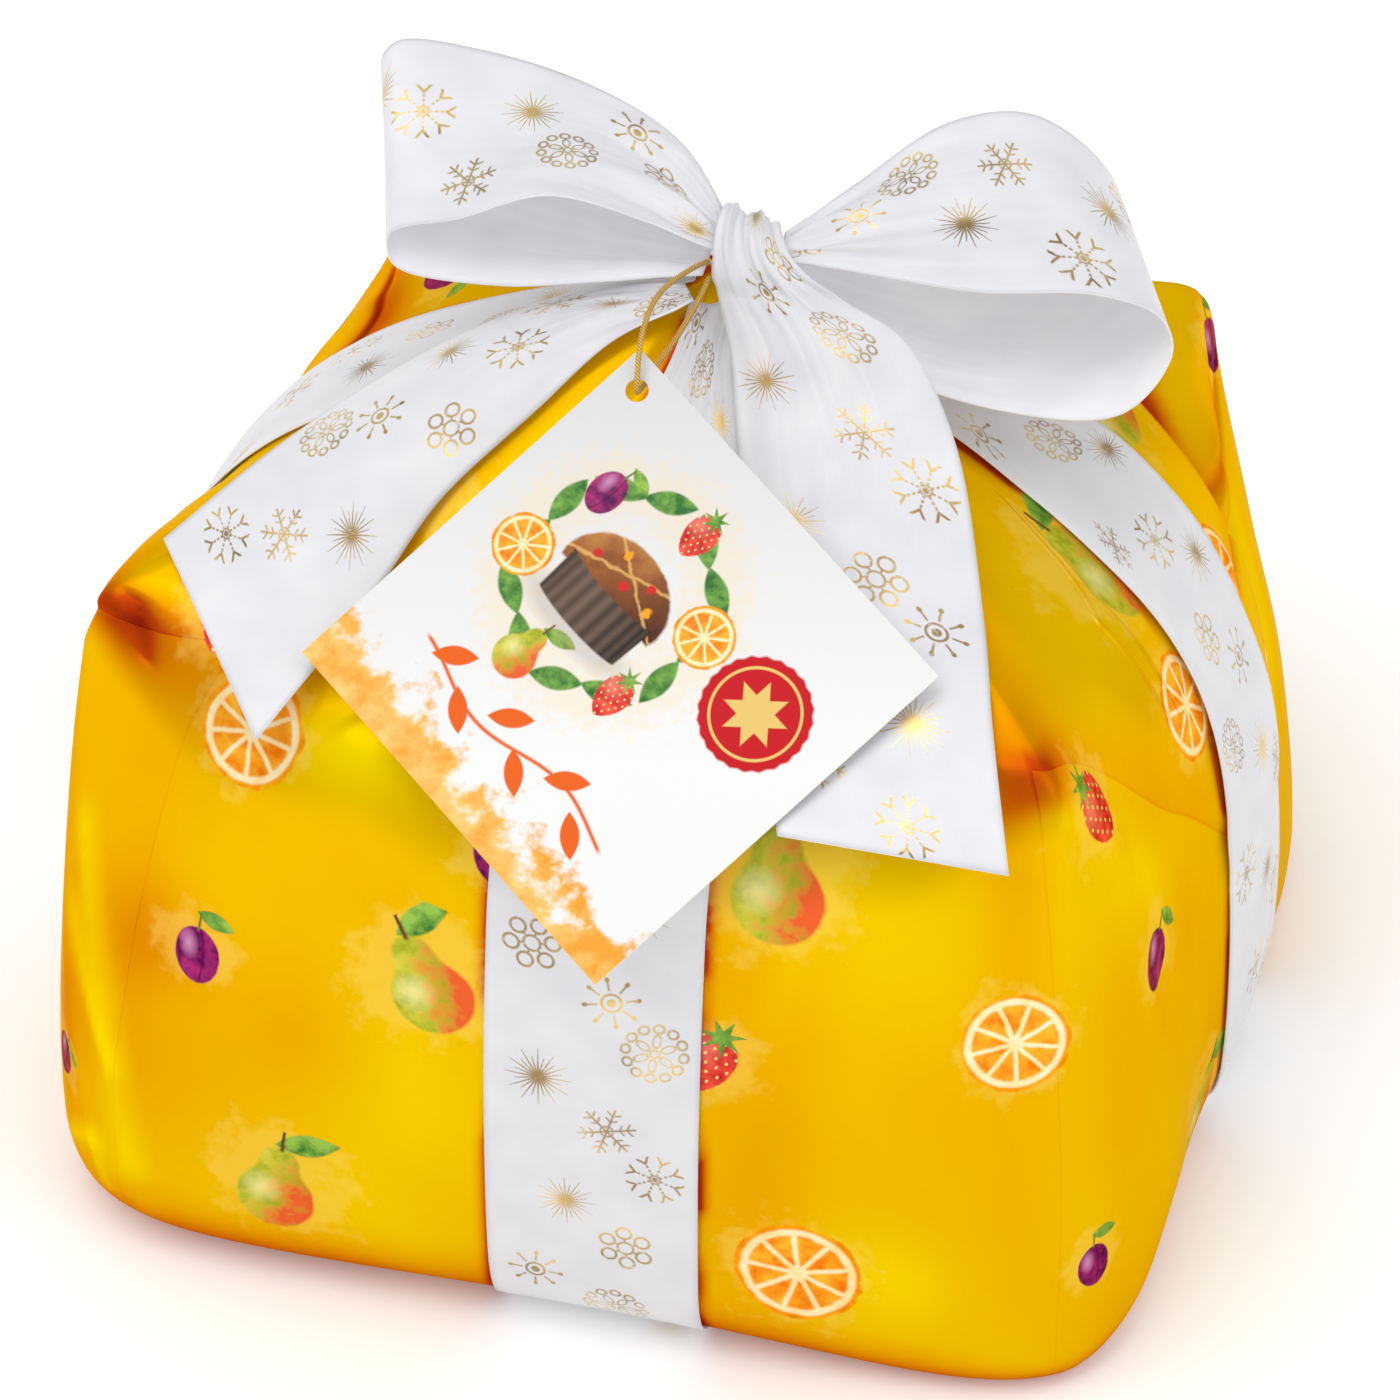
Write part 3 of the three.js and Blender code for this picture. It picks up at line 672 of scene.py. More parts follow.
# Bow and tails: each is ruled between its front edge and its back edge
LEFT_LOOP_FRONT = [
    [0.2, -9, 211.4], [-15.6, -11.4, 218.6], [-35.4, -15.1, 224], [-55, -16.6, 215.5],
    [-70.7, -16.1, 208.3], [-69.5, -16.9, 200.8], [-48, -14.3, 197.5], [-25.9, -11.7, 200.3],
    [-3.2, -9, 204.5],
]
LEFT_LOOP_BACK = [
    [0.2, 1, 212.8], [-14.5, 16, 220], [-38, 30.3, 221.2], [-61.9, 32.6, 224.7],
    [-80.4, 24.2, 229.7], [-82.6, 20.8, 224.8], [-60.1, 25.6, 209.9], [-34.1, 20.4, 204],
    [-3.2, 3, 206],
]
RIGHT_LOOP_FRONT = [
    [13, -8.5, 210.6], [28, -12, 213.4], [57.9, -13.4, 214.2], [81.6, -4.5, 211.4],
    [94.8, 0.5, 204], [97.8, -1.3, 196.4], [89.2, -10.2, 185.5], [62.1, -14.7, 185.1],
    [35.2, -14, 192.1], [14.4, -7, 204],
]
RIGHT_LOOP_BACK = [
    [12.4, 1.5, 211], [24, 18.4, 214.4], [41.1, 33.2, 223.2], [57.5, 41.8, 222.2],
    [72.9, 42.3, 212], [78.5, 40.2, 201.7], [73.1, 37.2, 187.4], [49.7, 31.8, 183.5],
    [28, 18, 192], [14.2, 3.5, 205],
]
LEFT_TAIL_BACK = [
    [-7, -9, 201.5], [-27.6, -5.8, 194.6], [-56.9, -10.3, 179.8], [-76.8, -29.7, 173.1],
    [-90.8, -51, 169.4], [-104.2, -77.4, 165.5],
]
LEFT_TAIL_FRONT = [
    [-4, -13.5, 201], [-18.5, -23.3, 195.4], [-31.8, -40, 185.9], [-47, -61.9, 175.5],
    [-55.1, -83.5, 166.1], [-71.4, -119.5, 150.7],
]
RIGHT_TAIL_FRONT = [
    [-1.2, 6.9, 201], [-0.9, 5.4, 211.4], [-0.7, 2.5, 215.4], [-0.9, -3.5, 216.4],
    [-0.6, -9, 213.5], [0.4, -13, 208.8], [2, -15.2, 203.7], [6.4, -22.8, 196.6],
    [11.1, -37.3, 187.8], [22, -68.9, 173], [31.9, -96.5, 159.4], [40.5, -119.1, 148],
]
RIGHT_TAIL_BACK = [
    [10.2, 6.9, 200.6], [10.6, 5.3, 210], [10.8, 2.5, 213], [13.2, -3.5, 213.8],
    [16.2, -9.4, 213.4], [22.2, -14.5, 211.9], [30.5, -17, 209], [44, -21, 204.4],
    [57, -31.5, 189.5], [72.5, -69.5, 172.3], [80.3, -95.5, 165.1], [89.5, -120.3, 148.6],
]


def strip_rows(front, back, long, gather, is_loop, crown=0, over=0):
    """The middle surface of a bow piece: straight lines between two edge curves. Gathers fade away
    from the knot, which a loop meets at both ends and which a tail lies on up to the share `over`
    of its length. The crown lifts the middle of a tail."""
    s = np.linspace(0, 1, long)
    p, q = smooth_path(front, s), smooth_path(back, s)
    behind, ahead = (smooth_path(front, s + d) + smooth_path(back, s + d) for d in (-0.01, 0.01))
    normal = unit(np.cross(ahead - behind, q - p))[:, None]
    past = (np.minimum(s, 1 - s) if is_loop else np.maximum(0, (s - over) / (1 - over)))[:, None]
    end = s[:, None] if over > 0 else past
    v = np.linspace(0, 1, STRIP_COLUMNS)[None, :]
    pleat = gather * smooth(0.32, 0.02, past) * smooth(0, 0.06, end) * np.sin(v * np.pi * 4)
    arch = crown * 4 * v * (1 - v) * window(0.1, 0.45, 0.6, 1.05, past)
    fine = 0.3 * smooth(0.3, 0.05, past) * smooth(0, 0.05, end) * np.sin(v * np.pi * 13 + 1)
    return mix(p[:, None], q[:, None], v[..., None]) + normal * (pleat + arch + fine)[..., None]


SUN, BURST, FLAKE, RINGS, ARROWS, LOOPS = range(6)
ORNAMENT_RADII = (7, 7.4, 7, 7.4, 7.4, 6.8)


def ornament_layout(length, seed):
    """The gold ornaments on a ribbon, in zigzag rows along it, each with its own turn and size.
    Gives kinds, places across and along, radii and turns."""
    draw = np.random.default_rng(seed)
    across = (-12.5, 2.5, 13.5, -4.5, 8.5, -14, 4, 14.5)
    order = (ARROWS, BURST, LOOPS, SUN, RINGS, BURST, FLAKE)
    ornaments = []
    for n in range(int(length / ORNAMENT_STEP)):
        kind = order[(n + seed) % len(order)]
        x = across[n % len(across)] + draw.uniform(-1.2, 1.2)
        y = ORNAMENT_STEP * (n + 0.5) + draw.uniform(-1, 1)
        radius = ORNAMENT_RADII[kind] * draw.uniform(0.92, 1.05)
        ornaments.append((kind, x, y, radius, draw.uniform(0, 3)))
    return np.array(ornaments).T


def make_ribbon(name, node, rows, printed, held, rests_on, seed, satin):
    """A thin closed sheet: the middle surface moved half the thickness to both sides, and joined
    round the edge. `printed` is the side, 1 or -1, that has the ornaments."""
    long, wide = rows.shape[:2]
    normal = unit(np.cross(np.gradient(rows, axis=0), np.gradient(rows, axis=1)))
    points = np.concatenate([rows + side * RIBBON_THICK / 2 * normal for side in (1, -1)])
    points = points.reshape(-1, 3)
    low = long * wide
    quads = grid_quads(long, wide)
    edge = np.r_[
        np.arange(wide - 1), wide * np.arange(1, long) - 1,
        low - 1 - np.arange(wide - 1), wide * np.arange(long - 1, 0, -1),
    ]
    after = np.roll(edge, -1)
    rim = np.stack([edge, after, after + low, edge + low], -1)
    faces = np.concatenate([quads[:, ::-1], quads + low, rim])
    piece = make_piece(name, points, faces, satin)
    mesh = piece.data

    along = path_length(rows[:, wide // 2])
    across = np.linspace(-RIBBON_HALF, RIBBON_HALF, wide)
    cloth = np.tile(np.stack(np.meshgrid(across, along), -1).reshape(-1, 2), (2, 1))
    vertex, face = corner_arrays(mesh)
    write_uv(mesh, "cloth", cloth[vertex] * MM)

    kinds, x, y, radius, turn = ornament_layout(along[-1], seed)
    centre = np.stack([x, y], -1)
    nearest = np.linalg.norm(cloth[faces].mean(1)[:, None] - centre[None], axis=2).argmin(1)
    motif = nearest[face]
    write_print(mesh, *((cloth[vertex] - centre[motif]) / radius[motif, None]).T, turn[motif])
    plain = np.repeat([printed < 0, printed > 0, True], [len(quads), len(quads), len(rim)])
    write_numbers(mesh, "motif", "FACE", np.where(plain, -1, kinds[nearest]))
    write_numbers(mesh, "back", "FACE", plain)
    knot_gap = np.linalg.norm(points - KNOT_CENTRE, axis=1)
    write_numbers(mesh, "pull", "POINT", smooth(PULL_REACH, PULL_FULL, knot_gap))
    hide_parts(node)


def make_knot(satin):
    """A soft lump: a superellipsoid, wider than deep, with folds that run over it from front to
    back as low waves of its radius."""
    around, rings = 96, 55
    a = np.arange(around) / around * 2 * np.pi
    lift = (np.linspace(-0.5, 0.5, rings + 2)[1:-1] * np.pi)[:, None]

    def soft(v):
        return np.sign(v) * np.abs(v) ** KNOT_SQUARE

    x = soft(np.cos(lift)) * soft(np.cos(a))
    y = soft(np.cos(lift)) * soft(np.sin(a))
    z = soft(np.sin(lift)) * np.ones_like(a)
    fold = 1 + 0.035 * np.sin(11 * x + 1.5 * y + 0.6)
    shell = np.stack([x, y * fold, z * fold], -1).reshape(-1, 3)
    points = KNOT_CENTRE + np.vstack([shell, [0, 0, -1], [0, 0, 1]]) * KNOT_HALF
    knot = make_piece("knot", points, ring_faces(rings, around), satin)
    mesh = knot.data
    away = (points[corner_arrays(mesh)[0]] - KNOT_CENTRE)[:, [0, 2]]
    write_uv(mesh, "cloth", away * MM)
    write_uv(mesh, "print", away / KNOT_HALF[0])
    write_numbers(mesh, "motif", "FACE", np.full(len(mesh.polygons), -1))
    write_numbers(mesh, "back", "FACE", np.zeros(len(mesh.polygons)))
    write_numbers(mesh, "pull", "POINT", np.ones(len(points)))
    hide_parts("bow_knot")


def tag_axes():
    """Middle, right, up and outward directions of the card: rolled in its plane, then tilted."""
    roll, tilt = np.radians(TAG_ROLL), np.radians(TAG_TILT)
    turn = np.array([[np.cos(roll), -np.sin(roll), 0], [np.sin(roll), np.cos(roll), 0], [0, 0, 1]])
    lean = np.array([[1, 0, 0], [0, np.cos(tilt), -np.sin(tilt)], [0, np.sin(tilt), np.cos(tilt)]])
    return np.array(TAG_CENTRE, float), lean @ turn


def dress_tag(material):
    """Gives the CAD card its print, and returns it."""
    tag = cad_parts["tag"]
    for slot in tag.material_slots:
        slot.material = material
    return tag


# Shader arithmetic


class Field:
    """A number that varies over a surface. Sums and products on it add Math nodes to its tree."""

    def __init__(self, tree, socket):
        self.tree = tree
        self.socket = socket

    def math(self, operation, *others, clamped=False):
        node = self.tree.nodes.new("ShaderNodeMath")
        node.operation = operation
        node.use_clamp = clamped
        for socket, value in zip(node.inputs, (self, *others)):
            plug(value, socket)
        return Field(self.tree, node.outputs[0])

    def __rsub__(self, other):
        return self.math("MULTIPLY_ADD", -1, other)

    __add__ = __radd__ = partialmethod(math, "ADD")
    __sub__ = partialmethod(math, "SUBTRACT")
    __mul__ = __rmul__ = partialmethod(math, "MULTIPLY")
    __truediv__ = partialmethod(math, "DIVIDE")
    __abs__ = partialmethod(math, "ABSOLUTE")


def plug(value, socket):
    """Joins a field or socket to a socket, or sets its number or colour."""
    if isinstance(value, Field):
        value = value.socket
    if isinstance(value, bpy.types.NodeSocket):
        socket.id_data.links.new(value, socket)
    elif isinstance(value, tuple) and len(value) == 3 and socket.type == "RGBA":
        socket.default_value = (*value, 1)
    else:
        socket.default_value = value


def within(distance, limit, edge=0.05):
    """1 where the distance is under the limit and 0 beyond it, with an edge that wide."""
    return distance.math("MULTIPLY_ADD", -1 / edge, 0.5 + limit / edge, clamped=True)


def stroke(value, half, edge=0.05):
    """1 on a line of that half width where the value is 0."""
    return within(abs(value), half, edge)


def step(value, low, high):
    """A straight ramp from 0 at low to 1 at high."""
    return value.math("MULTIPLY_ADD", 1 / (high - low), -low / (high - low), clamped=True)


def either(*masks):
    """The greatest of several masks."""
    return reduce(lambda one, other: one.math("MAXIMUM", other), masks)


def total(fields):
    """The sum of several fields."""
    return reduce(lambda one, other: one + other, fields)


def reach(x, y):
    """Distance from the origin."""
    return (x * x + y * y).math("SQRT")


def folded(x, y, count, start=0.0):
    """The plane folded into `count` alike arms: the places along the nearest arm and beside it, and
    the distance from the middle."""
    r = reach(x, y)
    angle = (y.math("ARCTAN2", x) + start).math("PINGPONG", np.pi / count)
    return r * angle.math("COSINE"), r * angle.math("SINE"), r


def paint(weight, low, high):
    """A colour between low and high by weight."""
    node = weight.tree.nodes.new("ShaderNodeMix")
    node.data_type = "RGBA"
    for n, value in zip((0, 6, 7), (weight, low, high)):
        plug(value, node.inputs[n])
    return node.outputs[2]


def ramp(value, stops):
    """A colour that runs through the stops: rows of a value and the colour reached there."""
    low, colour = stops[0]
    for high, following in stops[1:]:
        colour = paint(step(value, low, high), colour, following)
        low = high
    return colour


def noise(place, size, detail=2.0, roughness=0.5, stretch=None):
    """Noise from 0 to 1 whose blobs are about `size` millimetres wide."""
    tree = place.id_data
    if stretch is not None:
        mapping = tree.nodes.new("ShaderNodeMapping")
        mapping.inputs["Scale"].default_value = stretch
        plug(place, mapping.inputs["Vector"])
        place = mapping.outputs[0]
    node = tree.nodes.new("ShaderNodeTexNoise")
    plug(place, node.inputs["Vector"])
    node.inputs["Scale"].default_value = 1 / (size * MM)
    node.inputs["Detail"].default_value = detail
    node.inputs["Roughness"].default_value = roughness
    return Field(tree, node.outputs["Fac"])


def attribute(tree, name):
    """A number that the mesh carries."""
    node = tree.nodes.new("ShaderNodeAttribute")
    node.attribute_name = name
    return Field(tree, node.outputs["Fac"])


def uv_fields(tree, name):
    """The two numbers of a UV map."""
    node = tree.nodes.new("ShaderNodeUVMap")
    node.uv_map = name
    split = tree.nodes.new("ShaderNodeSeparateXYZ")
    plug(node.outputs[0], split.inputs[0])
    return Field(tree, split.outputs[0]), Field(tree, split.outputs[1])


def object_place(tree):
    """The place on the pack, in metres."""
    return tree.nodes.new("ShaderNodeTexCoord").outputs["Object"]


def along_axis(place, axis, origin, length):
    """How far a place lies from the origin along an axis, in that length."""
    tree = place.id_data
    node = tree.nodes.new("ShaderNodeVectorMath")
    node.operation = "DOT_PRODUCT"
    plug(place, node.inputs[0])
    node.inputs[1].default_value = axis / (length * MM)
    return Field(tree, node.outputs["Value"]) - float(origin @ axis / length)


def new_group(build, *inputs):
    """A shader node group with the name of the function that builds it. `inputs` names its numbers,
    and `build` gives its mask, and its colour if it has one."""
    tree = bpy.data.node_groups.new(build.__name__, "ShaderNodeTree")
    for label in inputs:
        tree.interface.new_socket(label, in_out="INPUT", socket_type="NodeSocketFloat")
    start = tree.nodes.new("NodeGroupInput")
    results = build(*(Field(tree, start.outputs[label]) for label in inputs))
    for label, kind in (("ink", "NodeSocketFloat"), ("colour", "NodeSocketColor"))[:len(results)]:
        tree.interface.new_socket(label, in_out="OUTPUT", socket_type=kind)
    end = tree.nodes.new("NodeGroupOutput")
    for value, socket in zip(results, end.inputs):
        plug(value, socket)
    return tree


def use_group(group, *values):
    """Places a group where its values are. Gives its outputs: fields, and sockets for colours."""
    tree = values[0].tree
    node = tree.nodes.new("ShaderNodeGroup")
    node.node_tree = group
    for socket, value in zip(node.inputs, values):
        plug(value, socket)
    return [out if out.type == "RGBA" else Field(tree, out) for out in node.outputs]


def new_material(name, build):
    """A material with a lone Principled shader. `build` draws on its tree and gives the shader's
    inputs by name."""
    material = bpy.data.materials.new(name)
    material.use_nodes = True
    material.cycles.emission_sampling = "NONE"
    shader = material.node_tree.nodes["Principled BSDF"]
    for label, value in build(material.node_tree).items():
        plug(value, shader.inputs[label])
    return material


def bump(height, distance, strength=1.0, below=None):
    """A normal from a height field. `distance` is what a height of 1 stands for, in millimetres."""
    node = height.tree.nodes.new("ShaderNodeBump")
    node.inputs["Strength"].default_value = strength
    node.inputs["Distance"].default_value = distance * MM
    plug(height, node.inputs["Height"])
    if below is not None:
        plug(below, node.inputs["Normal"])
    return node.outputs["Normal"]


# Printed fruit: x and y are in the fruit's radius, `wash` is an uneven tint from 0 to 1

LEAF_DARK = (0.05, 0.2, 0.03)
LEAF_LIGHT = (0.3, 0.52, 0.08)


def leaf_shape(x, y, at_x, at_y, long, slant):
    """A pointed leaf: the overlap of two discs, as the distance beside its middle line grows."""
    c, s = np.cos(slant), np.sin(slant)
    u = ((x - at_x) * c + (y - at_y) * s) / long
    v = ((y - at_y) * c - (x - at_x) * s) / long
    return within(abs(v) + u * u * 0.42, 0.4, 0.08), v


def leafy(body, colour, stem, bark, x, y, wash, *leaf_place):
    """A fruit's mask and colour with its stem, and with a leaf that is darker on one side."""
    leaf, vein = leaf_shape(x, y, *leaf_place)
    green = paint(wash + step(vein, -0.1, 0.1) * 0.3, LEAF_DARK, LEAF_LIGHT)
    return either(body, leaf, stem), paint(stem, paint(leaf, colour, green), bark)


def citrus_fruit(x, y, wash):
    """A round slice: rings of rind and pith, and nine segments between thin walls."""
    _, beside, r = folded(x, y, 9)
    pulp = within(r, 0.74) * step(beside, 0.02, 0.06) * step(r, 0.1, 0.18)
    pith = paint(wash, (0.98, 0.72, 0.3), (1.0, 0.86, 0.55))
    colour = paint(pulp, pith, paint(wash, (0.9, 0.2, 0.005), (1.0, 0.48, 0.03)))
    rind = paint(wash, (0.85, 0.24, 0.0), (0.98, 0.42, 0.01))
    return within(r + wash * 0.05, 0.97, 0.04), paint(within(r, 0.86), rind, colour)


def berry_fruit(x, y, wash):
    """A strawberry: a rounded triangle that narrows downward, with pips and a leafy crown."""
    down = (0.62 - y).math("MULTIPLY", 1 / 1.55, clamped=True)
    width = down.math("POWER", 0.42) * (1 - down).math("POWER", 0.62) * 1.18
    colour = paint(wash, (0.5, 0.01, 0.015), (0.92, 0.1, 0.06))
    colour = paint(step(reach(x + 0.25, y - 0.15), 0.5, 0.1) * 0.5, colour, (1.0, 0.32, 0.22))
    row = y * 5.2
    pip_x = (x * 4.4 + row.math("FLOOR") * 0.5).math("FRACT") - 0.5
    pip = within(reach(pip_x, (row.math("FRACT") - 0.5) * 0.7), 0.13, 0.08)
    colour = paint(pip, colour, (0.98, 0.72, 0.25))
    along, beside, _ = folded(x, y - 0.6, 7, 0.3)
    crown = within(beside * 2.4 + along * 0.55, 0.26)
    body = within(abs(x) - width, -0.04)
    return either(body, crown), paint(crown, colour, paint(wash, LEAF_DARK, LEAF_LIGHT))


def pear_fruit(x, y, wash):
    """A pear: two discs melted together, with a blush on one side, a stem and a leaf."""
    neck = reach(x - 0.05, y - 0.34) - 0.27
    body = within((reach(x, y + 0.34) - 0.56).math("SMOOTH_MIN", neck, 0.4), 0.0)
    colour = paint(wash, (0.36, 0.4, 0.02), (0.66, 0.6, 0.06))
    colour = paint(step(x - y * 0.35 + wash * 0.5, 0.2, 0.8), colour, (0.8, 0.12, 0.03))
    colour = paint(step(reach(x + 0.22, y + 0.2), 0.34, 0.03) * 0.6, colour, (0.95, 0.88, 0.4))
    stem = stroke(x - 0.02 - y * 0.1, 0.03, 0.03) * step(y, 0.52, 0.56) * step(y, 0.94, 0.9)
    return leafy(body, colour, stem, (0.16, 0.06, 0.02), x, y, wash, 0.44, 0.76, 0.5, 0.25)


def plum_fruit(x, y, wash):
    """A plum: an upright oval with a curved seam, a pale bloom, a stem and a leaf."""
    colour = paint(wash, (0.1, 0.004, 0.075), (0.42, 0.03, 0.17))
    bloom = step(reach(x + 0.2, (y - 0.06) * 0.6), 0.26, 0.02) * 0.7
    colour = paint(bloom, colour, (0.72, 0.34, 0.6))
    colour = paint(stroke(x - 0.16 + y * y * 0.2, 0.025, 0.04) * 0.6, colour, (0.05, 0.0, 0.03))
    stem = stroke(x - y * 0.18 + 0.02, 0.03, 0.03) * step(y, 0.42, 0.46) * step(y, 0.9, 0.86)
    body = within(reach(x * 1.32, y + 0.2), 0.72)
    return leafy(body, colour, stem, (0.12, 0.2, 0.03), x, y, wash, 0.5, 0.74, 0.5, -0.35)


FRUIT = [
    new_group(build, "x", "y", "wash")
    for build in (citrus_fruit, berry_fruit, pear_fruit, plum_fruit)
]


# Gold ornaments of the ribbon: x and y are in the ornament's radius


def flake_ink(x, y):
    """Six branched arms round a ring: a line along each arm, and two short branches that leave it
    slantwise."""
    along, beside, r = folded(x, y, 6)
    branches = (
        stroke((along - at) * 0.866 - beside * 0.5, 0.03) * within(beside, long)
        for at, long in ((0.42, 0.2), (0.66, 0.24))
    )
    return (either(within(beside, 0.035) * within(r, 0.95), *branches, stroke(r - 0.2, 0.03)),)


def burst_ink(x, y):
    """A star of thin tapering rays, long and short in turn, round a dark middle."""
    _, beside, r = folded(x, y, 12)
    long_ray = within(beside + r * 0.028, 0.036, 0.03) * within(r, 0.98)
    _, beside, _ = folded(x, y, 12, np.pi / 12)
    short_ray = within(beside + r * 0.03, 0.034, 0.03) * within(r, 0.7)
    return (either(long_ray, short_ray, within(r, 0.13, 0.12)),)


def sun_ink(x, y):
    """A ringed middle with eight thin rays that end in drops."""
    along, beside, r = folded(x, y, 8)
    ray = within(beside, 0.035) * step(r, 0.42, 0.46) * within(r, 0.8)
    drop = within(reach(along - 0.84, beside * 1.3), 0.1)
    return (either(stroke(r - 0.31, 0.045), within(r, 0.15), ray, drop),)


def rings_ink(x, y):
    """A wreath of twelve ovals round six petals and a small ring."""
    along, beside, r = folded(x, y, 12)
    oval = stroke(reach((along - 0.84) * 0.9, beside * 0.8) - 0.12, 0.03)
    along, beside, _ = folded(x, y, 6)
    petal = stroke(reach((along - 0.42) * 0.8, beside * 1.5) - 0.17, 0.032)
    spoke = within(beside, 0.028) * step(r, 0.62, 0.66) * within(r, 0.74)
    return (either(oval, petal, spoke, stroke(r - 0.13, 0.03)),)


def arrows_ink(x, y):
    """Eight broken arms that end in arrow heads."""
    along, beside, r = folded(x, y, 8)
    head = within(beside - (along - 0.6) * 0.75, 0.0, 0.04) * within(along, 0.93)
    notch = within(beside - (along - 0.74) * 0.75, 0.0, 0.04)
    dash = within((r * 6).math("FRACT") - 0.5, 0.12, 0.2)
    arm = within(beside, 0.035) * dash * within(r, 0.66)
    return (either(head * (1 - notch), arm, stroke(r - 0.16, 0.03)),)


def loops_ink(x, y):
    """Six rings round a middle ring, joined by short spokes."""
    along, beside, r = folded(x, y, 6)
    loop = stroke(reach(along - 0.66, beside) - 0.24, 0.045)
    spoke = within(beside, 0.04) * step(r, 0.28, 0.3) * within(r, 0.44)
    return (either(loop, stroke(r - 0.26, 0.04), spoke),)


ORNAMENTS = [
    new_group(build, "x", "y")
    for build in (sun_ink, burst_ink, flake_ink, rings_ink, arrows_ink, loops_ink)
]


# Materials


def chosen(tree, kind):
    """1 where the mesh's motif is this kind."""
    return attribute(tree, "motif").math("COMPARE", float(kind), 0.5)


# Fine lines pressed into the film: degrees and t at both ends
PRESSED = [
    (343.3, 3.16, 337.2, 2.78), (337.2, 2.8, 339.3, 2.27),
    (343.5, 3.1, 340, 2.85), (340, 2.86, 341.3, 2.3),
]
PRESSED_HALF = 1.1
PRESSED_RISE = 0.3


def pressed_lines(tree):
    """Tents across the pressed lines: 1 on a line and 0 beside it, fading at both ends."""
    u, v = uv_fields(tree, "fold")
    tents = []
    for row in PRESSED:
        start, along, side = line_frame(*row, PRESSED_HALF)
        a, b = u * (360 * ARC) - start[0], v * (4 * RISE) - start[1]
        tent = (1 - abs(a * side[0] + b * side[1])).math("MAXIMUM", 0)
        tents.append(tent * step(abs(a * along[0] + b * along[1] - 0.5), 0.62, 0.4))
    return total(tents)


# The film's colour by its tone, which holds random changes and painted shade and highlight: light
# yellow, yellow, gold, orange, deep orange and dark red
FILM_COLOURS = [
    (-0.4, (0.92, 0.69, 0.0)), (0.0, (0.83, 0.52, 0.0)), (0.3, (0.79, 0.4, 0.0)),
    (0.7, (0.68, 0.21, 0.0)), (1.05, (0.5, 0.055, 0.003)), (1.6, (0.22, 0.003, 0.002)),
]


def film_looks(tree):
    """Glossy film: broad soft random changes from yellow to orange, with painted shade in the
    folds, along the flap's edge, the pressed lines and the ribbons, painted highlights on raised
    places, and printed fruit in pale splashes of colour."""
    place = object_place(tree)
    broad = noise(place, 80, 1.5, 0.45)
    cloud = noise(place, 30, 1.5, 0.45, (1, 1, 0.5))
    pressed = pressed_lines(tree)
    flap = attribute(tree, "flap")
    # Painted shadow in a thin line along the flap's edge, and painted shade on the flap just above
    # it
    painted_fold_shadow = stroke(flap - 0.004, 0.004, 0.012) * 0.35
    above = step(flap, 0.3, 0.0) * step(flap, 0.0, 0.012) * 0.22
    # Painted shadow along the ribbons' edges on the film
    painted_ribbon_shadow = step(attribute(tree, "gap"), 4.0, 0.5) * step(noise(place, 30, 1), 0.36, 0.5)
    # The tone: painted shade and highlight from the mesh, random broad changes, and painted shade
    # along the pressed lines, the flap's edge and the ribbons
    tone_and_shade = attribute(tree, "tone_and_shade") + broad * 0.9 + cloud * 0.35 - 0.52
    tone_and_shade = tone_and_shade + pressed * 0.13 + painted_fold_shadow + above + painted_ribbon_shadow * painted_ribbon_shadow * 0.9

    x, y = uv_fields(tree, "print")
    ragged = noise(place, 7, 3, 0.6)
    wash = noise(place, 4.5, 3, 0.6)
    halo = step(reach(x, y) + (ragged - 0.5) * 2.0, 1.15, 0.75) * 0.3
    colour = paint(halo, ramp(tone_and_shade, FILM_COLOURS), (0.95, 0.68, 0.13))
    x, y = x + (wash - 0.5) * 0.07, y + (ragged - 0.5) * 0.07
    for kind, group in enumerate(FRUIT):
        ink, ink_colour = use_group(group, x, y, step(wash, 0.35, 0.65))
        colour = paint(ink * chosen(tree, kind), colour, ink_colour)

    streak = noise(place, 9, 2, 0.5, (1, 1, 0.3))
    normal = bump(noise(place, 22, 1.5, 0.4, (1, 1, 0.6)), 0.9, 0.6)
    normal = bump(streak, 0.12, 0.5, normal)
    return {
        "Base Color": colour,
        "Roughness": streak * 0.1 + 0.28,
        "Metallic": 0.42,
        "Specular IOR Level": 0,
        "Specular Tint": (1.0, 0.55, 0.02),
        "Normal": bump(pressed, PRESSED_RISE, 1.0, normal),
    }


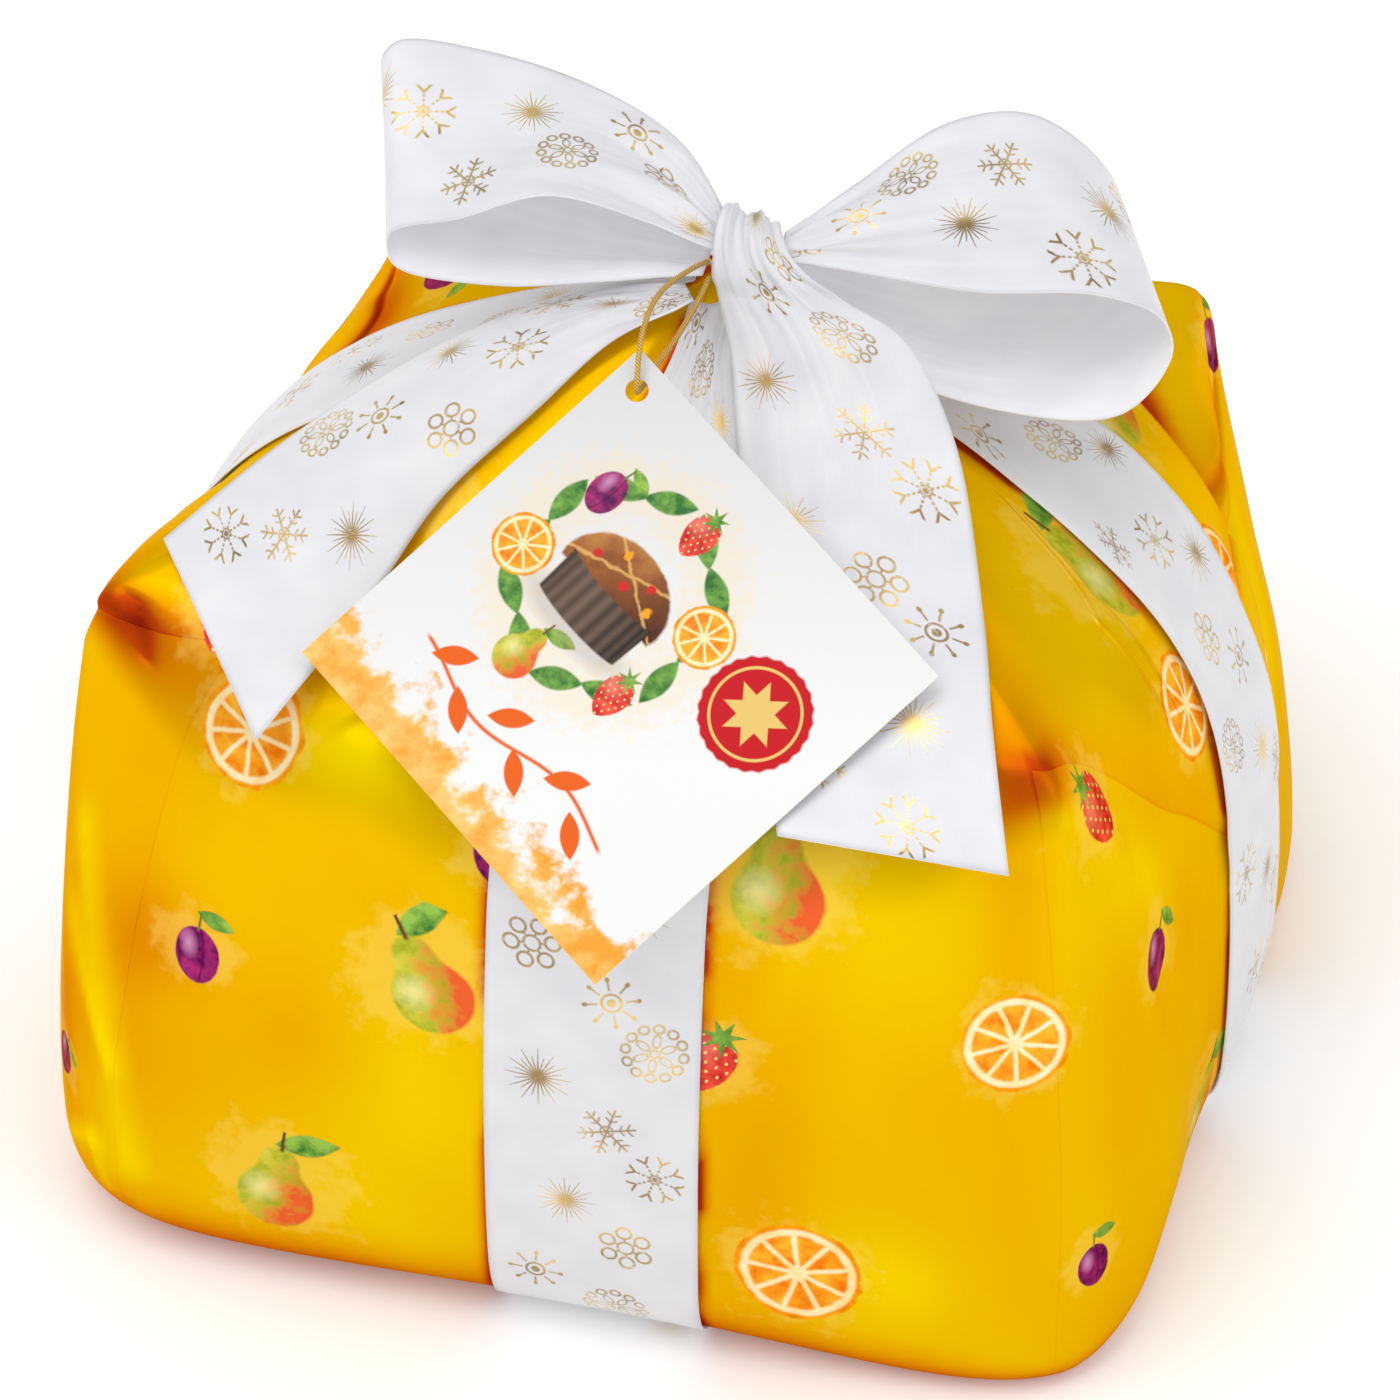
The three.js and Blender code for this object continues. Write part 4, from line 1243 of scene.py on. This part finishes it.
def satin_looks(tree):
    """White satin with a fine weave, a denser edge and gold print, bare on the back. Long soft
    creases run along it and fade away from the knot; they are also painted greyer, as painted
    shade. The gold is painted darker and lighter as painted reflection, and the satin glows
    faintly, more on the bare back and the rims, as painted light shining through it."""
    place = object_place(tree)
    across, along = uv_fields(tree, "cloth")
    x, y = uv_fields(tree, "print")
    back = attribute(tree, "back")
    ink = total([
        use_group(group, x, y)[0] * chosen(tree, kind) for kind, group in enumerate(ORNAMENTS)
    ])
    ink = ink * step(noise(place, 1.1, 2, 0.6), 0.2, 0.42)

    lanes = tree.nodes.new("ShaderNodeCombineXYZ")
    plug(across, lanes.inputs[0])
    plug(along * 0.1, lanes.inputs[1])
    crease = abs(noise(lanes.outputs[0], 7, 1, 0.4) - 0.5) * attribute(tree, "pull")
    ripple = noise(place, 12, 1)
    # The face greys in soft random patches, and is painted darker along the creases near the knot
    # as painted shade
    face = paint(ripple - crease * 3, (0.66, 0.66, 0.7), (0.8, 0.8, 0.82))
    selvedge = step(abs(across), (RIBBON_HALF - 1.1) * MM, (RIBBON_HALF - 0.6) * MM)
    face = paint(selvedge * 0.35, face, (0.7, 0.7, 0.74))
    # The gold ink runs from dark to light with the ripple: painted reflection on the metallic ink,
    # which also has real metallic reflection
    gold = paint(step(ripple, 0.38, 0.62), (0.3, 0.19, 0.06), (0.74, 0.52, 0.17))

    weft = (along * (2 * np.pi / (WEFT * MM))).math("SINE")
    warp = (across * (2 * np.pi / (WARP * MM))).math("SINE")
    crumple = abs(noise(place, 34, 0, 0.4) - 0.5)
    weave = (weft * warp + selvedge * 2) * 0.0105
    return {
        "Base Color": paint(ink, face, gold),
        # A faint glow, stronger on the bare back and the rims: painted light that stands in for
        # light shining through the satin
        "Emission Color": paint(back, (0.03, 0.03, 0.032), (0.13, 0.13, 0.135)),
        "Emission Strength": 1,
        "Metallic": ink * 0.85,
        "Roughness": 0.42 - ink * 0.1 + back * 0.1,
        "Sheen Weight": 0.15,
        "Sheen Roughness": 0.4,
        "Normal": bump(crumple * 2.8 + crease * 1.3 + ripple * 0.2 + weave, 1),
    }


def cord_looks(tree):
    """Gold elastic: threads that wind round it, painted bright on their crowns as painted highlight
    and darker between them as painted shade.
    """
    around, along = uv_fields(tree, "cloth")
    thread = ((around * 4 + along * (1 / (0.7 * MM))) * (2 * np.pi)).math("SINE")
    # Painted highlight on the threads and painted shade in the grooves between them
    lit = step(thread, -0.8, 0.8)
    return {
        "Base Color": paint(lit, (0.4, 0.2, 0.03), (0.83, 0.55, 0.13)),
        "Roughness": 0.5 - lit * 0.15,
        "Metallic": 0.5,
        "Normal": bump(thread, 0.08, 0.6),
    }


# The card's picture: places and sizes in half the card's side, and the loaf's fruit in its own size
WREATH_CENTRE = (-0.26, 0.2)
WREATH_RADIUS = 0.46
WREATH_FRUIT = (
    (CITRUS, 0.15), (BERRY, 0.14), (PLUM, 0.15), (CITRUS, 0.15), (PEAR, 0.18), (BERRY, 0.14),
)
WREATH_LEAVES = 12
LOAF_SIZE = 0.35
LOAF_FRUIT = ((-0.5, 0.12), (-0.2, 0.38), (0.34, 0.3), (0.5, 0.05), (0.05, 0.08))
SEAL_CENTRE = (0.58, 0.3)
SEAL_RADIUS = 0.27


def loaf_art(x, y, hand, blot):
    """A domed loaf in a fluted case: a browned half ellipse scored crosswise, with pieces of fruit,
    above a band whose top and bottom bend as they do round a drum."""
    across = (x / 0.76).math("MINIMUM", 1).math("MAXIMUM", -1)
    arc = (1 - across * across).math("SQRT")
    dome = within(reach(x / 0.84, (y + 0.08) / 0.66) + hand * 0.7, 1.0) * step(y, -0.24, -0.2)
    lit = y * 0.55 - x * 0.3 + blot * 0.8
    crust = paint(step(lit, 0.1, 0.6), (0.07, 0.016, 0.006), (0.3, 0.095, 0.024))
    crust = paint(step(lit, 0.55, 0.95), crust, (0.62, 0.28, 0.08))
    scores = (y - x * 0.35 - 0.22, y + x * 0.55 - 0.26)
    score = either(*(stroke(line + hand, 0.02, 0.03) for line in scores))
    crust = paint(score * 0.8, crust, (0.8, 0.45, 0.14))
    for n, (at_x, at_y) in enumerate(LOAF_FRUIT):
        dot = within(reach(x - at_x, y - at_y) + hand, 0.06, 0.03)
        crust = paint(dot, crust, ((0.62, 0.02, 0.02), (0.9, 0.36, 0.02))[n % 2])
    flute = (across.math("ARCSINE") * 24).math("SINE") * 0.25 + 0.25 + step(x, 0.8, -0.5) * 0.5
    paper = paint(flute * arc, (0.022, 0.013, 0.011), (0.2, 0.13, 0.09))
    low = y + arc * 0.12
    case = step(low, 0.0, -0.03) * step(low, -0.66, -0.63) * within(abs(x) - y * 0.05, 0.74, 0.03)
    return either(dome, case), paint(case, crust, paper)


LOAF = new_group(loaf_art, "x", "y", "hand", "blot")


def card_looks(tree):
    """Smooth card, painted greyer toward the hole as painted shade, with an orange wash along the
    lower edge, a festive loaf in a wreath of fruit, a winding line with leaves, and a round seal. x
    is to the right and y upward, in half the card's side."""
    place = object_place(tree)
    middle, axes = tag_axes()
    middle = middle + SHIFT
    x = along_axis(place, -axes[:, 1], middle, TAG_SIDE / 2)
    y = along_axis(place, axes[:, 0], middle, TAG_SIDE / 2)
    front = step(along_axis(place, axes[:, 2], middle, TAG_THICK / 2), 0.79, 0.81)
    fine = noise(place, 2.5, 4, 0.6)
    blot = noise(place, 9, 4, 0.62)
    wash = step(noise(place, 3, 3, 0.6), 0.35, 0.65)

    # Painted shade: the card greys toward the hole at its top corner
    colour = paint(step(y - x, -0.6, 1.7), (0.86, 0.86, 0.85), (0.68, 0.68, 0.685))
    edge = step(y + 0.86 + (blot - 0.5) * 0.9 + x * 0.06, 0.1, 0.0)
    stain = paint(step(blot, 0.35, 0.6), (0.88, 0.36, 0.03), (0.93, 0.6, 0.18))
    colour = paint(edge * front, colour, stain)

    # A loaf in a wreath of fruit and leaves
    across, up = x - WREATH_CENTRE[0], y - WREATH_CENTRE[1]
    ring = abs(reach(across, up) - WREATH_RADIUS)
    tint = step(ring + (fine - 0.5) * 0.5, 0.2, 0.08) * 0.3
    colour = paint(tint * front, colour, (0.93, 0.68, 0.32))
    leaves = []
    for n in range(WREATH_LEAVES):
        a = (n + 0.5) * 2 * np.pi / WREATH_LEAVES
        at = WREATH_RADIUS * np.cos(a), WREATH_RADIUS * np.sin(a)
        leaves.append(leaf_shape(across, up, *at, 0.13, a + (1.2, 1.9)[n % 2])[0])
    green = paint(wash, (0.03, 0.16, 0.03), (0.2, 0.42, 0.07))
    colour = paint(either(*leaves) * front, colour, green)
    for n, (kind, size) in enumerate(WREATH_FRUIT):
        a = n * 2 * np.pi / len(WREATH_FRUIT) + 0.35
        near_x = (across - WREATH_RADIUS * np.cos(a)) / size
        near_y = (up - WREATH_RADIUS * np.sin(a)) / size
        ink, ink_colour = use_group(FRUIT[kind], near_x, near_y, wash)
        colour = paint(ink * front, colour, ink_colour)
    across, up = across / LOAF_SIZE, (up - 0.02) / LOAF_SIZE
    shadow = within(reach(across, (up + 0.7) * 3.2), 0.9, 0.5) * 0.35
    colour = paint(shadow * front, colour, (0.3, 0.2, 0.12))
    ink, ink_colour = use_group(LOAF, across, up, (fine - 0.5) * 0.12, blot)
    colour = paint(ink * front, colour, ink_colour)

    # Winding line with leaves
    wave = y + 0.58 - (x * 6.5).math("SINE") * 0.05
    line = stroke(wave, 0.009, 0.012) * stroke(x + 0.05, 0.62, 0.03)
    for n, side in enumerate((1, -1) * 3):
        leaf, _ = leaf_shape(x, y, -0.52 + 0.19 * n, -0.58 + 0.075 * side, 0.11, 0.7 * side)
        line = either(line, leaf)
    colour = paint(line * front, colour, (0.8, 0.12, 0.006))

    # Round seal with a star
    across, up = (x - SEAL_CENTRE[0]) / SEAL_RADIUS, (y - SEAL_CENTRE[1]) / SEAL_RADIUS
    _, beside, r = folded(across, up, 24)
    colour = paint(within(r - beside * 0.25, 0.93, 0.04) * front, colour, (0.56, 0.004, 0.01))
    along, beside, _ = folded(across, up, 8, np.pi / 8)
    star = either(stroke(r - 0.76, 0.025, 0.02), within(along * 0.42 + beside, 0.24, 0.02))
    return {
        "Base Color": paint(star * front, colour, (0.8, 0.55, 0.16)),
        "Roughness": fine * 0.08 + 0.5,
        "Specular IOR Level": 0.2,
        "Normal": bump(fine, 0.03, 0.3),
    }


def floor_looks(tree):
    """A pale studio floor that glows a little, more so away from the lights over the pack."""
    split = tree.nodes.new("ShaderNodeSeparateXYZ")
    plug(object_place(tree), split.inputs[0])
    away = reach(Field(tree, split.outputs[0]), Field(tree, split.outputs[1]))
    return {
        "Base Color": (0.93, 0.93, 0.93),
        "Roughness": 0.8,
        "Emission Color": paint(step(away, 0.1, 0.7), (0.12, 0.12, 0.12), (0.5, 0.5, 0.5)),
        "Emission Strength": 1,
    }


# Studio

FLOOR_HALF = 6000
WORLD_STRENGTH = 0.6
LIGHT_TARGET_Z = 100
# Softboxes: directions round the pack and upward in degrees, distance and side in mm, and watts
LIGHTS = {
    "key": (-38, 60, 1600, 1100, 7),
    "fill": (62, 45, 1800, 1200, 4.5),
    "top": (10, 86, 1500, 1000, 4),
}


def make_floor():
    """A wide flat floor under the pack."""
    mesh = bpy.data.meshes.new("floor")
    side = FLOOR_HALF * MM
    corners = [(-side, -side, 0), (side, -side, 0), (side, side, 0), (-side, side, 0)]
    mesh.from_pydata(corners, [], [(0, 1, 2, 3)])
    mesh.materials.append(new_material("studio_floor", floor_looks))
    floor = bpy.data.objects.new("floor", mesh)
    bpy.context.collection.objects.link(floor)


def make_studio():
    """Soft light from all round, square softboxes with the key at the upper left, and the floor."""
    world = bpy.data.worlds.new("studio")
    world.use_nodes = True
    background = world.node_tree.nodes["Background"]
    background.inputs[0].default_value = (1, 1, 1, 1)
    background.inputs[1].default_value = WORLD_STRENGTH
    bpy.context.scene.world = world
    bpy.context.scene.view_settings.view_transform = "Standard"
    make_floor()
    for name, (azimuth, elevation, distance, size, power) in LIGHTS.items():
        data = bpy.data.lights.new(name, "AREA")
        data.shape = "SQUARE"
        data.size = size * MM
        data.energy = power
        light = bpy.data.objects.new(name, data)
        stand(light, azimuth, elevation, distance, np.array([0, 0, LIGHT_TARGET_Z]))


make_studio()
satin = new_material("satin", satin_looks)
tag = dress_tag(new_material("printed_card", card_looks))
make_cord(new_material("gold_cord", cord_looks))
make_wrap(new_material("film", film_looks))

LOOP_LEFT = strip_rows(LEFT_LOOP_FRONT, LEFT_LOOP_BACK, 150, 1.6, True)
LOOP_RIGHT = strip_rows(RIGHT_LOOP_FRONT, RIGHT_LOOP_BACK, 170, 1.6, True)
TAIL_LEFT = strip_rows(LEFT_TAIL_FRONT, LEFT_TAIL_BACK, 100, 1.2, False, -6.5)
TAIL_RIGHT = strip_rows(RIGHT_TAIL_FRONT, RIGHT_TAIL_BACK, 190, 0.8, False, 2.9, 0.4)
# Piece, node, middle surface, printed side, how it is held, what it rests on, and the print's seed
for ribbon in (
    ("band_lengthwise", "ribbon_lengthwise", band_rows(270, 90, 0), 1, "stretched", ["film"], 3),
    ("band_crosswise", "ribbon_crosswise", band_rows(0, 180, CROSSING_RISE),
     1, "stretched", ["film"], 5),
    ("loop_left", "bow_loop_left", LOOP_LEFT, -1, "gathered", ["knot"], 1),
    ("loop_right", "bow_loop_right", LOOP_RIGHT, 1, "gathered", ["knot"], 2),
    ("tail_left_end", "tail_left", TAIL_LEFT, -1, "draped", ["film", "knot"], 4),
    ("tail_right_end", "tail_right", TAIL_RIGHT, 1, "draped", ["film", "knot"], 0),
):
    make_ribbon(*ribbon, satin)
make_knot(satin)
